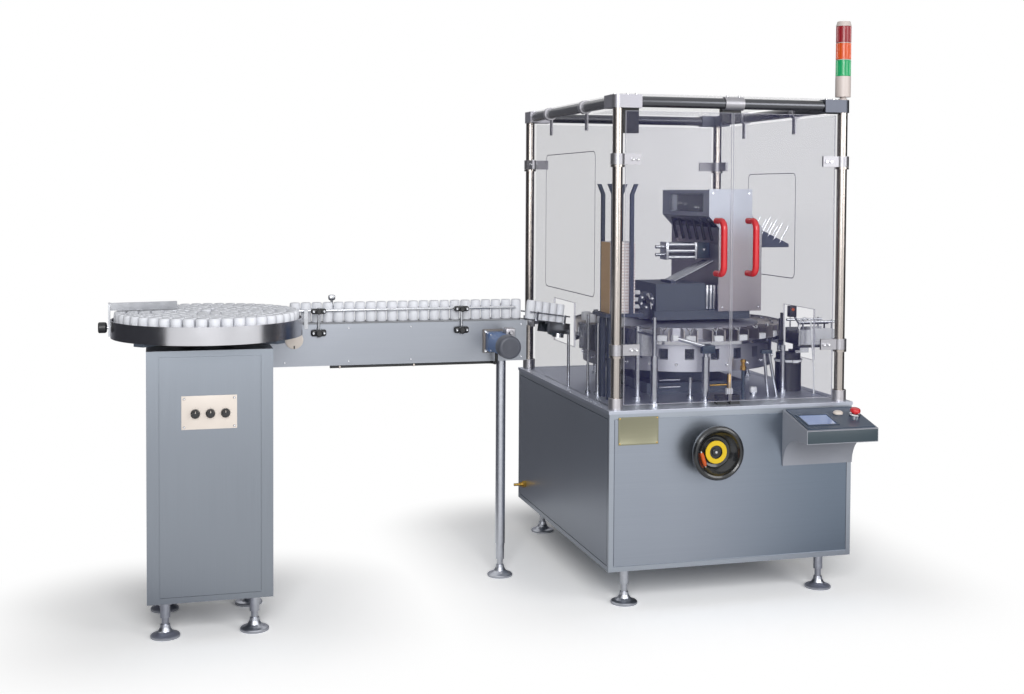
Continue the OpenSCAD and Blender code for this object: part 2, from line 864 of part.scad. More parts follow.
// Housing with a window in its left face, the paper slot under the step and the front cover
module folder_housing() {
  upper = fold_knee + fold_step;
  left = fold_x0 - fold_shift;
  margin = 60;
  deep = 14;
  slot_h = 70;
  color([0.5, 0.51, 0.58]) place() {
    difference() {
      translate([0, folder_y1, 0]) rotate([90, 0, 0]) linear_extrude(folder_y1 - folder_y0) folder_outline();
      box(left - 1, folder_y0 + margin, upper + deep,
          left + deep, folder_y1 - margin - 20, folder_top - deep);
      box(fold_x0 - 1, folder_y0 + margin / 3, fold_knee - slot_h,
          fold_x0 + deep, folder_y1 - margin, fold_knee - 6);
    }
    translate([0, folder_y0 + 0.5, 0]) rotate([90, 0, 0]) linear_extrude(cover_t)
      offset(delta = cover_lip) folder_outline();
  }
}

// Guided cylinder on the left face of the folder with two rods and its head plate
module folder_cylinder() {
  half = cyl_w / 2;
  body_l = 128;
  stroke = 74;
  head_t = 10;
  rod_d = 14;
  color([0.7, 0.71, 0.74]) place() translate([fold_x0, cyl_y + half, cyl_z]) {
    translate([-body_l, -half, -half]) cube([body_l, cyl_w, cyl_w]);
    translate([-body_l - stroke, -half + 6, -half + 10]) cube([head_t, cyl_w - 12, cyl_w - 20]);
    for (dz = [-16, 16]) {
      translate([-body_l - stroke - 22, 0, dz]) rotate([0, 90, 0]) cylinder(d = rod_d, h = stroke + 30);
    }
    for (dy = [-half + 8, half - 8]) {
      translate([-body_l - 6, dy, half]) rotate([0, 90, 0]) cylinder(d = rod_d - 2, h = body_l);
    }
  }
}

// Leaflet tray on the right face with thin guide rods, and the delivery rods on the left
module leaflet_tray() {
  tip = 14;
  rod_d = 5;
  rod_l = 80;
  bar = 10;
  drop_x = fold_x0 - 190;
  drop_z = folder_z + feed_box_h;
  drop_h = 84;
  run = fold_x0 - drop_x;
  color([0.16, 0.2, 0.34]) place() {
    for (y = [folder_y0 + 10, folder_y0 + 10 + tray_w]) {
      translate([fold_x1, y + tray_t, 0]) rotate([90, 0, 0]) linear_extrude(tray_t)
        polygon([[0, tray_z], [0, tray_z + tray_h], [tray_out, tray_z + tip], [tray_out, tray_z]]);
      for (i = [0 : 3]) {
        x = fold_x1 + 12 + i * tray_out / 5;
        z = tray_z + tray_h - 20 - i * (tray_h - tip) / 5;
        translate([x, y + tray_t / 2, z]) rotate([0, 30, 0]) cylinder(d = rod_d, h = rod_l);
      }
    }
    for (s = [0.2, 0.8]) {
      translate([fold_x1 + tray_out * s, folder_y0 + 11, tray_z + 6]) rotate([-90, 0, 0])
        cylinder(d = bar, h = tray_w + 2);
    }
    box(drop_x, folder_y0 + 40, drop_z, drop_x + 2 * bar, folder_y0 + 150, drop_z + bar);
    for (i = [0 : 3]) {
      translate([drop_x + bar, folder_y0 + 50 + i * 30, drop_z + bar / 2])
        rotate([0, atan2(run - bar, drop_h), 0])
          cylinder(d = rod_d + 1, h = sqrt(pow(run - bar, 2) + drop_h * drop_h) - 2);
    }
  }
}

// Rotary picker at the left end of the stand, with two suction rods towards the magazine
module carton_picker() {
  base_w = 56;
  disc_r = 36;
  axis_z = folder_z + 42;
  x = stand_x0 - base_w;
  y = folder_y0 + 40;
  cup = 9;
  color([0.3, 0.31, 0.34]) place() {
    box(x, y, stand_z + 4, stand_x0, y + base_w, axis_z);
    translate([x + base_w / 2, y - 14, axis_z]) rotate([-90, 0, 0]) cylinder(r = disc_r, h = 24);
    translate([x + base_w / 2, y - 20, axis_z]) rotate([-90, 0, 0]) cylinder(r = base_w / 4, h = base_w + 16);
    for (dz = [-14, 14]) {
      translate([x - 46, y - 2, axis_z + dz]) rotate([0, 90, 0]) cylinder(d = 8, h = 60);
      translate([x - 54, y - 2, axis_z + dz]) rotate([0, 90, 0]) cylinder(r1 = cup, r2 = cup / 2, h = 10);
    }
  }
}

// Channel through the right port on a bracket that stands on the drive
module outfeed_bed() {
  end_x = x_max - 6;
  foot_x = drive_x + 16;
  bar_t = 10;
  color([0.7, 0.71, 0.73]) place() {
    box(out_x0, out_y0, out_low, end_x, out_y1, out_low + out_wall);
    box(out_x0, out_y0, out_low, end_x, out_y0 + out_wall, out_belt_z + 16);
    box(out_x0, out_y1 - out_wall, out_low, end_x, out_y1, out_belt_z + 16);
    box(foot_x, out_mid - 30, drive_top, out_x0 + 60, out_mid + 30, drive_top + bar_t);
    box(out_x0 + 20, out_mid - 30, drive_top, out_x0 + 60, out_mid + 30, out_low + 1);
    for (y = [out_y0 + out_wall / 2, out_y1 - out_wall / 2]) {
      for (x = [out_x0 + 20, end_x - 16]) {
        translate([x, y, out_belt_z + 10]) cylinder(d = 6, h = 44);
      }
      translate([out_x0 + 4, y, out_belt_z + 46]) rotate([0, 90, 0]) cylinder(d = 10, h = end_x - out_x0 - 4);
    }
  }
}

module belt_loop(x0, x1, z_top, r, t, y0, y1) {
  translate([0, y1, z_top - r]) rotate([90, 0, 0]) linear_extrude(y1 - y0) difference() {
    union() {
      translate([x0 + r, 0]) circle(r = r);
      translate([x1 - r, 0]) circle(r = r);
      translate([x0 + r, -r]) square([x1 - x0 - 2 * r, 2 * r]);
    }
    translate([x0 + r, 0]) circle(r = r - t);
    translate([x1 - r, 0]) circle(r = r - t);
    translate([x0 + r, -r + t]) square([x1 - x0 - 2 * r, 2 * (r - t)]);
  }
}

module outfeed_belt() {
  side = out_wall + 3;
  color([0.15, 0.16, 0.17]) place() {
    belt_loop(out_x0 + 2, x_max, out_belt_z, out_roll, 3, out_y0 + side, out_y1 - side);
    for (x = [out_x0 + 2 + out_roll, x_max - out_roll]) {
      translate([x, out_y0 + out_wall, out_belt_z - out_roll]) rotate([-90, 0, 0])
        cylinder(r = out_roll - 4, h = out_w - 2 * out_wall);
    }
  }
}

// Round drive of the outfeed with its clamp band and pulley
module outfeed_drive() {
  band = 3;
  band_h = 10;
  pulley_h = 26;
  color([0.1, 0.1, 0.12]) place() translate([drive_x, out_mid, 0]) {
    translate([0, 0, deck_top]) cylinder(r = drive_r, h = drive_top - pulley_h - deck_top);
    translate([0, 0, drive_top - pulley_h - band_h]) cylinder(r = drive_r + band, h = band_h);
    translate([0, 0, drive_top - pulley_h - 1]) cylinder(r = drive_r - band, h = pulley_h + 1);
  }
}

module column_body() {
  strip = 40;
  color([0.55, 0.57, 0.6]) place() difference() {
    box(column_x0, column_y0, column_foot_h, column_x1, column_y0 + column_w, column_top);
    box(column_x0 + strip, column_y0 - 1, column_foot_h + strip / 2,
        column_x1 - strip, column_y0 + skin_t, column_top - strip / 2);
    for (i = [-1, 0, 1]) {
      translate([table_x + i * knob_pitch, column_y0, knob_z]) rotate([-90, 0, 0])
        cylinder(d = knob_shaft + 2 * run_fit + 1, h = 24);
    }
  }
}

module column_panel() {
  strip = 40 + groove;
  color([0.6, 0.62, 0.65]) place() difference() {
    box(column_x0 + strip, column_y0, column_foot_h + strip / 2,
        column_x1 - strip, column_y0 + skin_t, column_top - strip / 2);
    for (i = [-1, 0, 1]) {
      translate([table_x + i * knob_pitch, column_y0 - 1, knob_z]) rotate([-90, 0, 0])
        cylinder(d = knob_shaft + 2 * run_fit, h = skin_t + 2);
    }
  }
}

module knob(i) {
  color([0.08, 0.08, 0.09]) place()
    translate([table_x + i * knob_pitch, column_y0, knob_z]) rotate([90, 0, 0]) {
    translate([0, 0, -18]) cylinder(d = knob_shaft, h = 24);
    translate([0, 0, knob_gap]) cylinder(d = knob_d, h = 5);
    translate([0, 0, knob_gap + 5]) cylinder(d1 = knob_d - 8, d2 = knob_d - 11, h = 13);
  }
}

module left_knob() {
  knob(-1);
}

module middle_knob() {
  knob(0);
}

module right_knob() {
  knob(1);
}

// Bearing block on the column and four arms that carry the rim
module table_pedestal() {
  color([0.4, 0.41, 0.43]) place() translate([table_x, table_y, 0]) difference() {
    union() {
      translate([0, 0, column_top]) cylinder(r = hub_r + 30, h = rim_low - spider_t - column_top + 1);
      for (a = [45, 135]) {
        rotate([0, 0, a]) translate([-rim_r, -spider_w / 2, rim_low - spider_t])
          cube([2 * rim_r, spider_w, spider_t]);
      }
      translate([0, 0, rim_low - spider_t]) cylinder(r = hub_r, h = spider_t);
    }
    translate([0, 0, column_top + 4]) cylinder(r = spin_r + run_fit, h = belt_z);
  }
}

// Bright band round the bottles with a gap where the lane leaves
module table_rim() {
  lane = bottle_d + 22;
  color([0.8, 0.8, 0.82]) place() difference() {
    translate([table_x, table_y, rim_low]) difference() {
      cylinder(r = rim_r, h = rim_top - rim_low);
      translate([0, 0, -1]) cylinder(r = rim_r - rim_t, h = rim_top - rim_low + 2);
    }
    box(table_x + 60, lane_y - lane / 2, belt_z, table_x + rim_r + 1, lane_y + lane / 2, rim_top + 1);
  }
}

module table_disc() {
  color([0.7, 0.7, 0.72]) place() translate([table_x, table_y, 0]) {
    translate([0, 0, belt_z - disc_t]) cylinder(r = disc_r, h = disc_t);
    translate([0, 0, column_top + 6]) cylinder(r = spin_r, h = belt_z - column_top - 8);
  }
}

// Guide blade over the bottles on an upright outside the rim
module table_arm() {
  post_t = 6;
  blade_h = 27;
  blade_l = 235;
  x = table_x - rim_r;
  color([0.75, 0.75, 0.77]) place() {
    box(x - post_t, table_y - 18, rim_low + 4, x - slide_fit, table_y + 18, arm_z + blade_h);
    translate([x - post_t, table_y, arm_z]) rotate([0, 0, 10]) cube([blade_l, 5, blade_h]);
    translate([x - arm_out, table_y, rim_low + 34]) rotate([0, 90, 0]) cylinder(d = 26, h = 20);
    translate([x - arm_out + 19, table_y, rim_low + 34]) rotate([0, 90, 0]) cylinder(d = 10, h = 18);
  }
}

// Folded channel of the conveyor with the two rollers of the belt
module conveyor_frame() {
  under = column_top - 4;
  reach = 150;
  pan = 4;
  color([0.6, 0.62, 0.65]) place() {
    for (y = [plate_y0, plate_y1]) {
      box(conv_x0, y, side_low, conv_x1, y + side_t, side_top);
      box(conv_x0 - reach, y, side_low, conv_x0 + 1, y + side_t, under);
    }
    box(conv_x0 - reach, plate_y0, side_low, conv_x1, plate_y1 + side_t, side_low + pan);
    for (x = [conv_x0 + 4 + conv_roll, conv_x1 - 8 - conv_roll]) {
      translate([x, plate_y0 + 1, belt_z - conv_roll]) rotate([-90, 0, 0])
        cylinder(r = conv_roll - belt_t - slide_fit, h = plate_y1 - plate_y0 + 2);
    }
  }
}

module conveyor_belt() {
  half = conv_in / 2 - 6;
  color([0.35, 0.35, 0.36]) place()
    belt_loop(conv_x0 + 4, conv_x1 - 8, belt_z, conv_roll, belt_t, lane_y - half, lane_y + half);
}

// Guide rods beside the bottles, the near one with a flat end bar on the side plate
module guide_rails() {
  bar_w = 14;
  bar_t = 6;
  bar_x = conv_x0 + 98;
  color([0.72, 0.72, 0.74]) place() {
    box(bar_x, plate_y0 - bar_t, belt_z - 20, bar_x + bar_w, plate_y0, guide_z + bar_t);
    box(bar_x, plate_y0 - 1, guide_z - bar_t, bar_x + bar_w, lane_y - guide_off, guide_z + bar_t);
    for (s = [-1, 1]) {
      translate([conv_x0 + 70, lane_y + s * guide_off, guide_z]) rotate([0, 90, 0])
        cylinder(d = guide_d, h = conv_l - 110);
    }
  }
}

// Clamps that hold the guide rods on the side plates
module rail_bracket(x, s) {
  out = conv_in / 2 + side_t;
  foot_w = 22;
  foot_t = 14;
  head = 20;
  translate([x, lane_y, 0]) mirror([0, s < 0 ? 0 : 1, 0]) difference() {
    union() {
      box(-foot_w / 2, -out - foot_t, belt_z - 52, foot_w / 2, -out, belt_z - 20);
      translate([0, -out - 8, belt_z - 50]) cylinder(d = guide_d, h = 110);
      box(-head / 2, -out - 16, guide_z - head / 2,
          head / 2, -guide_off + guide_d * 0.75, guide_z + head / 2);
    }
    translate([-head, -guide_off, guide_z]) rotate([0, 90, 0])
      cylinder(d = guide_d + 2 * slide_fit, h = 2 * head);
  }
}

module rail_brackets() {
  color([0.1, 0.1, 0.11]) place() {
    for (x = [conv_x0 + 152, conv_x1 - 264]) {
      rail_bracket(x, -1);
    }
    for (x = [conv_x0 + 216, conv_x1 - 60]) {
      rail_bracket(x, 1);
    }
  }
}

// Gear motor on the near side plate
module belt_motor() {
  flange = 92;
  body_r = 44;
  color([0.25, 0.35, 0.5]) place() translate([motor_x, plate_y0, motor_z]) {
    translate([-flange / 2, -12, -flange / 2]) cube([flange, 12, flange]);
    translate([-motor_box / 2, -64, -motor_box / 2]) cube([motor_box, 53, motor_box]);
    translate([0, -63, 0]) rotate([90, 0, 0]) cylinder(r = body_r - 3, h = 130);
    translate([0, -190, 0]) rotate([90, 0, 0]) cylinder(r = body_r, h = 56);
  }
}

// Cable loom under the conveyor, bent forward and up into the gear box
module motor_cable() {
  d = 12;
  bend = 24;
  run = conv_l * 0.66;
  y = plate_y0 + 16;
  z = side_low - d / 2;
  out = 56;
  up = motor_z - motor_box / 2 - z;
  color([0.15, 0.15, 0.16]) place() translate([motor_x, y, z]) {
    translate([-run, 0, 0]) rotate([0, 90, 0]) cylinder(d = d, h = run - bend);
    translate([-bend, -bend, 0]) rotate_extrude(angle = 90) translate([bend, 0]) circle(d = d);
    translate([0, -bend, 0]) rotate([90, 0, 0]) cylinder(d = d, h = out - 2 * bend);
    translate([0, -out + bend, bend]) rotate([90, 0, 90]) rotate([0, 0, 180]) rotate_extrude(angle = 90)
      translate([bend, 0]) circle(d = d);
    translate([0, -out, bend]) cylinder(d = d, h = up - bend);
  }
}

module bottle() {
  r = bottle_d / 2;
  rotate_extrude() polygon([
    [0, 0], [r - 1.5, 0], [r, 1.5], [r, bottle_h * 0.9], [r * 0.86, bottle_h], [0, bottle_h]
  ]);
}

// Puts pieces into the frame of the inclined chute, x along the chute
module on_chute() {
  translate([chute_x0, lane_y, chute_z]) rotate([0, 0, chute_turn]) rotate([0, chute_fall, 0]) children();
}

module bottles() {
  color([0.93, 0.93, 0.92]) place() {
    translate([table_x, table_y, belt_z + lift]) {
      for (k = [0 : ring_n]) {
        r = outer_r - k * ring_step;
        n = floor(2 * PI * r / ring_step);
        for (i = [0 : n - 1]) {
          rotate([0, 0, i * 360 / n + k * 7]) translate([r, 0, 0]) bottle();
        }
      }
    }
    for (i = [0 : floor((conv_l - 60) / ring_step)]) {
      translate([conv_x1 - 30 - i * ring_step, lane_y, belt_z + lift]) bottle();
    }
    for (i = [0 : floor((chute_l - 30 - bottle_d / 2) / ring_step)]) {
      on_chute() translate([30 + i * ring_step, 0, lift]) bottle();
    }
  }
}

// Inclined channel with guide wires, a lug at the conveyor, a leg on the deck and a feed wheel
module bottle_chute() {
  half = chute_w / 2;
  skirt = 44;
  skirt_x = 110;
  feed_r = 28;
  feed_h = 58;
  leg_d = 12;
  leg_at = chute_l + 20;
  leg_px = chute_x0 + leg_at * cos(chute_fall) * cos(chute_turn);
  leg_py = lane_y + leg_at * cos(chute_fall) * sin(chute_turn);
  color([0.7, 0.71, 0.73]) place() {
    on_chute() {
      translate([0, -half, -4]) cube([chute_l, chute_w, 4]);
      for (y = [-half, half - 3]) {
        translate([skirt_x, y, -skirt]) cube([chute_l - skirt_x, 3, skirt - 1]);
      }
      translate([chute_l - 2, -leg_d / 2, -4]) cube([leg_at - chute_l + 4, leg_d, 4]);
      translate([chute_l - feed_r - 8, 0, -feed_h - 2]) cylinder(r = feed_r - 4, h = feed_h);
      for (s = [-1, 1]) {
        for (x = [40, chute_l - 40]) {
          translate([x, s * half - 2, -4]) cube([10, 4, 36]);
        }
        translate([6, s * (half - 2), 28]) rotate([0, 90, 0]) cylinder(d = 6, h = chute_l - 12);
      }
    }
    translate([leg_px, leg_py, deck_top])
      cylinder(d = leg_d, h = chute_z - leg_at * sin(chute_fall) - 2 - deck_top);
    box(conv_x1, lane_y + 20, chute_z - 30, conv_x1 + 24, plate_y1 + side_t, chute_z - 9);
  }
}

base_cabinet();
cabinet_panels();
deck_plate();
levelling_feet();
guard_posts();
top_rails();
corner_blocks();
roof_panel();
left_guard();
right_guard();
rear_guard();
panel_clips();
left_door();
left_hinges();
left_handle();
right_door();
right_hinges();
right_handle();
door_catches();
signal_body();
green_lamp();
amber_lamp();
red_lamp();
console_box();
console_face();
console_switches();
stop_button();
handwheel();
air_inlet();
index_base();
carousel_drum();
carousel_fins();
station_frame();
magazine();
carton_stack();
folder_stand();
folder_housing();
folder_cylinder();
leaflet_tray();
carton_picker();
outfeed_bed();
outfeed_belt();
outfeed_drive();
column_body();
column_panel();
left_knob();
middle_knob();
right_knob();
table_pedestal();
table_rim();
table_disc();
table_arm();
conveyor_frame();
conveyor_belt();
guide_rails();
rail_brackets();
belt_motor();
motor_cable();
bottles();
bottle_chute();
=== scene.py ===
import math
from functools import partial

import bpy
from mathutils import Matrix, Vector


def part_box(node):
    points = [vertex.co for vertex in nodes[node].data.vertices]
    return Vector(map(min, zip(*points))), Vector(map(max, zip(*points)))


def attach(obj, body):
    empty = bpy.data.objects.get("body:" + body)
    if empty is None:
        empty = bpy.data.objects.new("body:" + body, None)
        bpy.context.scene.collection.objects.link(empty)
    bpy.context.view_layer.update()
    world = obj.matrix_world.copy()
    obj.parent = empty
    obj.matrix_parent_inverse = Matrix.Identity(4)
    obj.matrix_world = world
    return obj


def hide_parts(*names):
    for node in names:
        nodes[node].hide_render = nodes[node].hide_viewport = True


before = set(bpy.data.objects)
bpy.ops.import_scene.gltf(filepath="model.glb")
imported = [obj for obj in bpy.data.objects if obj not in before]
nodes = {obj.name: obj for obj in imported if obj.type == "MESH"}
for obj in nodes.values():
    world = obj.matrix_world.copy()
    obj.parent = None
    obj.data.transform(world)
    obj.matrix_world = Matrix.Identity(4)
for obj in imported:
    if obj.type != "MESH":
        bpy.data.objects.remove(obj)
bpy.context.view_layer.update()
print("frame loaded:", len(nodes), "nodes")

# machine corner (front left of the cabinet, on the floor) in the shared frame, millimetres
corner = {"x": 357.145, "y": -515.5}


def at(x, y, z):
    return Vector(((x + corner["x"]) / 1000, (y + corner["y"]) / 1000, z / 1000))


# camera, solved from the straight edges of the cabinet and the conveyor
viewer = {"place": (-1582.2, -4431.2, 1524.1), "yaw": 15.22, "pitch": -1.95, "roll": 0.31,
          "lens": 45.735, "sensor": 36.0, "shiftX": 0.0017, "shiftY": -0.1079, "clipEnd": 200}


def makeCamera():
    yaw, pitch, roll = (math.radians(viewer[k]) for k in ("yaw", "pitch", "roll"))
    ahead = Vector((math.sin(yaw) * math.cos(pitch), math.cos(yaw) * math.cos(pitch), math.sin(pitch)))
    right = Vector((math.cos(yaw), -math.sin(yaw), 0))
    up = right.cross(ahead)
    turnedRight = right * math.cos(roll) + up * math.sin(roll)
    turnedUp = turnedRight.cross(ahead)
    bpy.ops.object.camera_add()
    camera = bpy.context.object
    camera.name = "viewCamera"
    turn = Matrix((turnedRight, turnedUp, -ahead)).transposed().to_4x4()
    camera.matrix_world = Matrix.Translation(at(*viewer["place"])) @ turn
    camera.data.sensor_fit = "HORIZONTAL"
    camera.data.sensor_width = viewer["sensor"]
    camera.data.lens = viewer["lens"]
    camera.data.shift_x = viewer["shiftX"]
    camera.data.shift_y = viewer["shiftY"]
    camera.data.clip_end = viewer["clipEnd"]
    bpy.context.scene.camera = camera


makeCamera()
print("camera set")


# white air tube from the head of the out-feed down to the deck, a stiff push-in tube
airTube = {"d": 6, "length": 372, "smooth": 50, "path": [
    (896, 270, 984), (896, 270, 1004), (896.9, 268.7, 1012.8), (899.5, 265.1, 1020.6), (903.5, 259.5, 1026.3),
    (908.4, 252.6, 1029.4), (913.6, 245.4, 1029.4), (918.5, 238.5, 1026.3), (922.5, 232.9, 1020.6),
    (925.1, 229.3, 1012.8), (926.0, 228.0, 1004.0), (926.4, 227.3, 977.0), (927.4, 225.3, 950.0),
    (928.6, 222.2, 923.0), (929.6, 218.3, 896.0), (930.0, 214.0, 869.0), (929.6, 209.7, 842.0),
    (928.6, 205.8, 815.0), (927.4, 202.7, 788.0), (926.4, 200.7, 761.0), (926.0, 200.0, 734.0)]}


def makeTube():
    route = [at(*place) for place in airTube["path"]]
    curve = bpy.data.curves.new("airTube", "CURVE")
    curve.dimensions = "3D"
    line = curve.splines.new("POLY")
    line.points.add(len(route) - 1)
    for point, place in zip(line.points, route):
        point.co = (*place, 1)
    curve.bevel_depth = airTube["d"] / 2000
    curve.bevel_resolution = 4
    curve.use_fill_caps = True
    tube = bpy.data.objects.new("airTube", curve)
    bpy.context.scene.collection.objects.link(tube)
    bpy.ops.object.select_all(action="DESELECT")
    tube.select_set(True)
    bpy.context.view_layer.objects.active = tube
    bpy.ops.object.convert(target="MESH")
    bpy.ops.object.shade_smooth_by_angle(angle=math.radians(airTube["smooth"]))
    tube = bpy.context.object
    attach(tube, "machine")
    tuple(route[0])
    [tuple(place) for place in route]
    return tube


tube = makeTube()
print("air tube laid")


# materials
def linear(code):
    parts = [int(code[i:i + 2], 16) / 255 for i in (1, 3, 5)]
    return tuple(c / 12.92 if c <= 0.04045 else ((c + 0.055) / 1.055) ** 2.4 for c in parts) + (1.0,)


# a link starts at a socket, or at the first output of a node
def addNode(tree, kind, values=None, links=None, **settings):
    node = tree.nodes.new("ShaderNode" + kind)
    for key, value in settings.items():
        setattr(node, key, value)
    for key, value in (values or {}).items():
        node.inputs[key].default_value = value
    for key, source in (links or {}).items():
        start = source.outputs[0] if isinstance(source, bpy.types.Node) else source
        tree.links.new(start, node.inputs[key])
    return node


def startMaterial(name):
    material = bpy.data.materials.new(name)
    material.use_nodes = True
    tree = material.node_tree
    tree.nodes.clear()
    add = partial(addNode, tree)
    return material, add, add("TexCoord").outputs["Object"]


def endMaterial(material, kind, values, links):
    shader = addNode(material.node_tree, kind, values, links)
    addNode(material.node_tree, "OutputMaterial", {}, {0: shader})
    return material


def mottled(add, place, colour, size, detail, low, high):
    # a colour made darker and lighter by a noise, and the noise
    cloud = add("TexNoise", {"Scale": size, "Detail": detail}, {"Vector": place})
    level = add("MapRange", {"To Min": low, "To Max": high}, {"Value": cloud})
    shade = add("Mix", {0: 1.0, 6: linear(colour)}, {7: level}, data_type="RGBA", blend_type="MULTIPLY")
    return shade.outputs[2], cloud


# ground stainless sheet: a soft grey with fine parallel scratches and slow changes of tone
def groundSheet(name, colour, darker, rough=0.36, along=(3, 3, 900), across=None):
    material, add, place = startMaterial(name)
    lines = add("Mapping", {"Scale": along}, {"Vector": place})
    # real scratches are about 0.1 mm apart, drawn near 1 mm so that they show
    grain = add("TexNoise", {"Scale": 1.0, "Detail": 3.0, "Roughness": 0.6}, {"Vector": lines})
    cloud = add("TexNoise", {"Scale": 1.7, "Detail": 2.0}, {"Vector": place})
    shade = add("Mix", {6: linear(colour), 7: linear(darker)}, {0: cloud}, data_type="RGBA").outputs[2]
    # where a finish gives it, the colour runs to a second colour along one axis: painted shade towards the right on
    # the cabinet and the corner blocks, painted light on the top face of the deck, and paler towards the top on the
    # folder cover
    if across:
        axis, low, high, end = across
        split = add("SeparateXYZ", {}, {0: place})
        reach = add("MapRange", {"From Min": low, "From Max": high}, {"Value": split.outputs[axis]},
                    interpolation_type="SMOOTHSTEP")
        shade = add("Mix", {7: linear(end)}, {0: reach, 6: shade}, data_type="RGBA").outputs[2]
    streak = add("MapRange", {"To Min": 0.86, "To Max": 1.1}, {"Value": grain})
    final = add("Mix", {0: 0.6}, {6: shade, 7: streak}, data_type="RGBA", blend_type="MULTIPLY")
    gloss = add("MapRange", {"To Min": rough - 0.07, "To Max": rough + 0.07}, {"Value": grain})
    relief = add("Bump", {"Strength": 0.06, "Distance": 0.0004}, {"Height": grain})
    return endMaterial(material, "BsdfPrincipled", {"Metallic": 1.0},
                       {"Base Color": final.outputs[2], "Roughness": gloss, "Normal": relief})


# turned or cast metal: even colour, faint mottling from handling
def plainMetal(name, colour, rough=0.3, mottle=0.16, grain=60):
    material, add, place = startMaterial(name)
    shade, cloud = mottled(add, place, colour, grain, 4.0, 1 - mottle, 1 + mottle * 0.5)
    gloss = add("MapRange", {"To Min": max(rough - 0.06, 0.04), "To Max": rough + 0.06}, {"Value": cloud})
    return endMaterial(material, "BsdfPrincipled", {"Metallic": 1.0}, {"Base Color": shade, "Roughness": gloss})


# sprayed enamel on metal: slight orange peel about 2 mm across
def sprayedEnamel(name, colour, rough):
    material, add, place = startMaterial(name)
    shade, cloud = mottled(add, place, colour, 7.0, 3.0, 0.88, 1.1)
    skin = add("TexNoise", {"Scale": 480.0, "Detail": 1.0}, {"Vector": place})
    relief = add("Bump", {"Strength": 0.05, "Distance": 0.0005}, {"Height": skin})
    gloss = add("MapRange", {"To Min": rough - 0.05, "To Max": rough + 0.08}, {"Value": cloud})
    return endMaterial(material, "BsdfPrincipled", {"IOR": 1.5},
                       {"Base Color": shade, "Roughness": gloss, "Normal": relief})


# moulded plastic: even colour with a fine spark-eroded grain
def mouldedPlastic(name, colour, rough, grain=0.08, clear=0.0, glow=0.0, mirror=0.5):
    material, add, place = startMaterial(name)
    shade, cloud = mottled(add, place, colour, 14.0, 2.0, 0.92, 1.06)
    skin = add("TexNoise", {"Scale": 900.0, "Detail": 2.0}, {"Vector": place})
    relief = add("Bump", {"Strength": grain, "Distance": 0.0003}, {"Height": skin})
    gloss = add("MapRange", {"To Min": max(rough - 0.05, 0.03), "To Max": rough + 0.05}, {"Value": cloud})
    return endMaterial(material, "BsdfPrincipled",
                       {"IOR": 1.49, "Specular IOR Level": mirror, "Coat Weight": clear, "Emission Strength": glow,
                        "Emission Color": linear(colour)},
                       {"Base Color": shade, "Roughness": gloss, "Normal": relief})


# cast acrylic sheet: clear, a sheet takes about an eighth of the light and leaves a lavender cast
def clearAcrylic(name, colour, cover, rough=0.05):
    material, add, place = startMaterial(name)
    cloud = add("TexNoise", {"Scale": 2.2, "Detail": 1.0}, {"Vector": place})
    gloss = add("MapRange", {"To Min": rough, "To Max": rough * 2}, {"Value": cloud})
    return endMaterial(material, "BsdfPrincipled", {"Base Color": linear(colour), "IOR": 1.49, "Alpha": cover},
                       {"Roughness": gloss})


# folding boxboard: chalky white edges in a stack, each sheet about 3 mm thick when flat; the sides of the stack are
# painted tan as shade
def foldedBoard(name, colour, darker, paintedSideShade):
    material, add, place = startMaterial(name)
    # faces turned along x are the sides of the stack, which get the painted tan shade
    facing = add("SeparateXYZ", {}, {0: place.node.outputs["Normal"]})
    sideFacing = add("Math", {}, {0: facing}, operation="ABSOLUTE", use_clamp=True)
    sheets = add("TexWave", {"Scale": 27.0, "Distortion": 0.8, "Detail": 1.0}, {"Vector": place},
                 bands_direction="Z").outputs["Fac"]
    fibre = add("TexNoise", {"Scale": 260.0, "Detail": 4.0}, {"Vector": place})
    tone = add("Math", {1: 0.35}, {0: fibre, 2: sheets}, operation="MULTIPLY_ADD", use_clamp=True)
    shade = add("Mix", {6: linear(darker), 7: linear(colour)}, {0: tone}, data_type="RGBA")
    shade = add("Mix", {7: linear(paintedSideShade)}, {0: sideFacing, 6: shade.outputs[2]}, data_type="RGBA")
    relief = add("Bump", {"Strength": 0.3, "Distance": 0.001}, {"Height": sheets})
    return endMaterial(material, "BsdfPrincipled", {"Roughness": 0.85, "IOR": 1.45},
                       {"Base Color": shade.outputs[2], "Normal": relief})


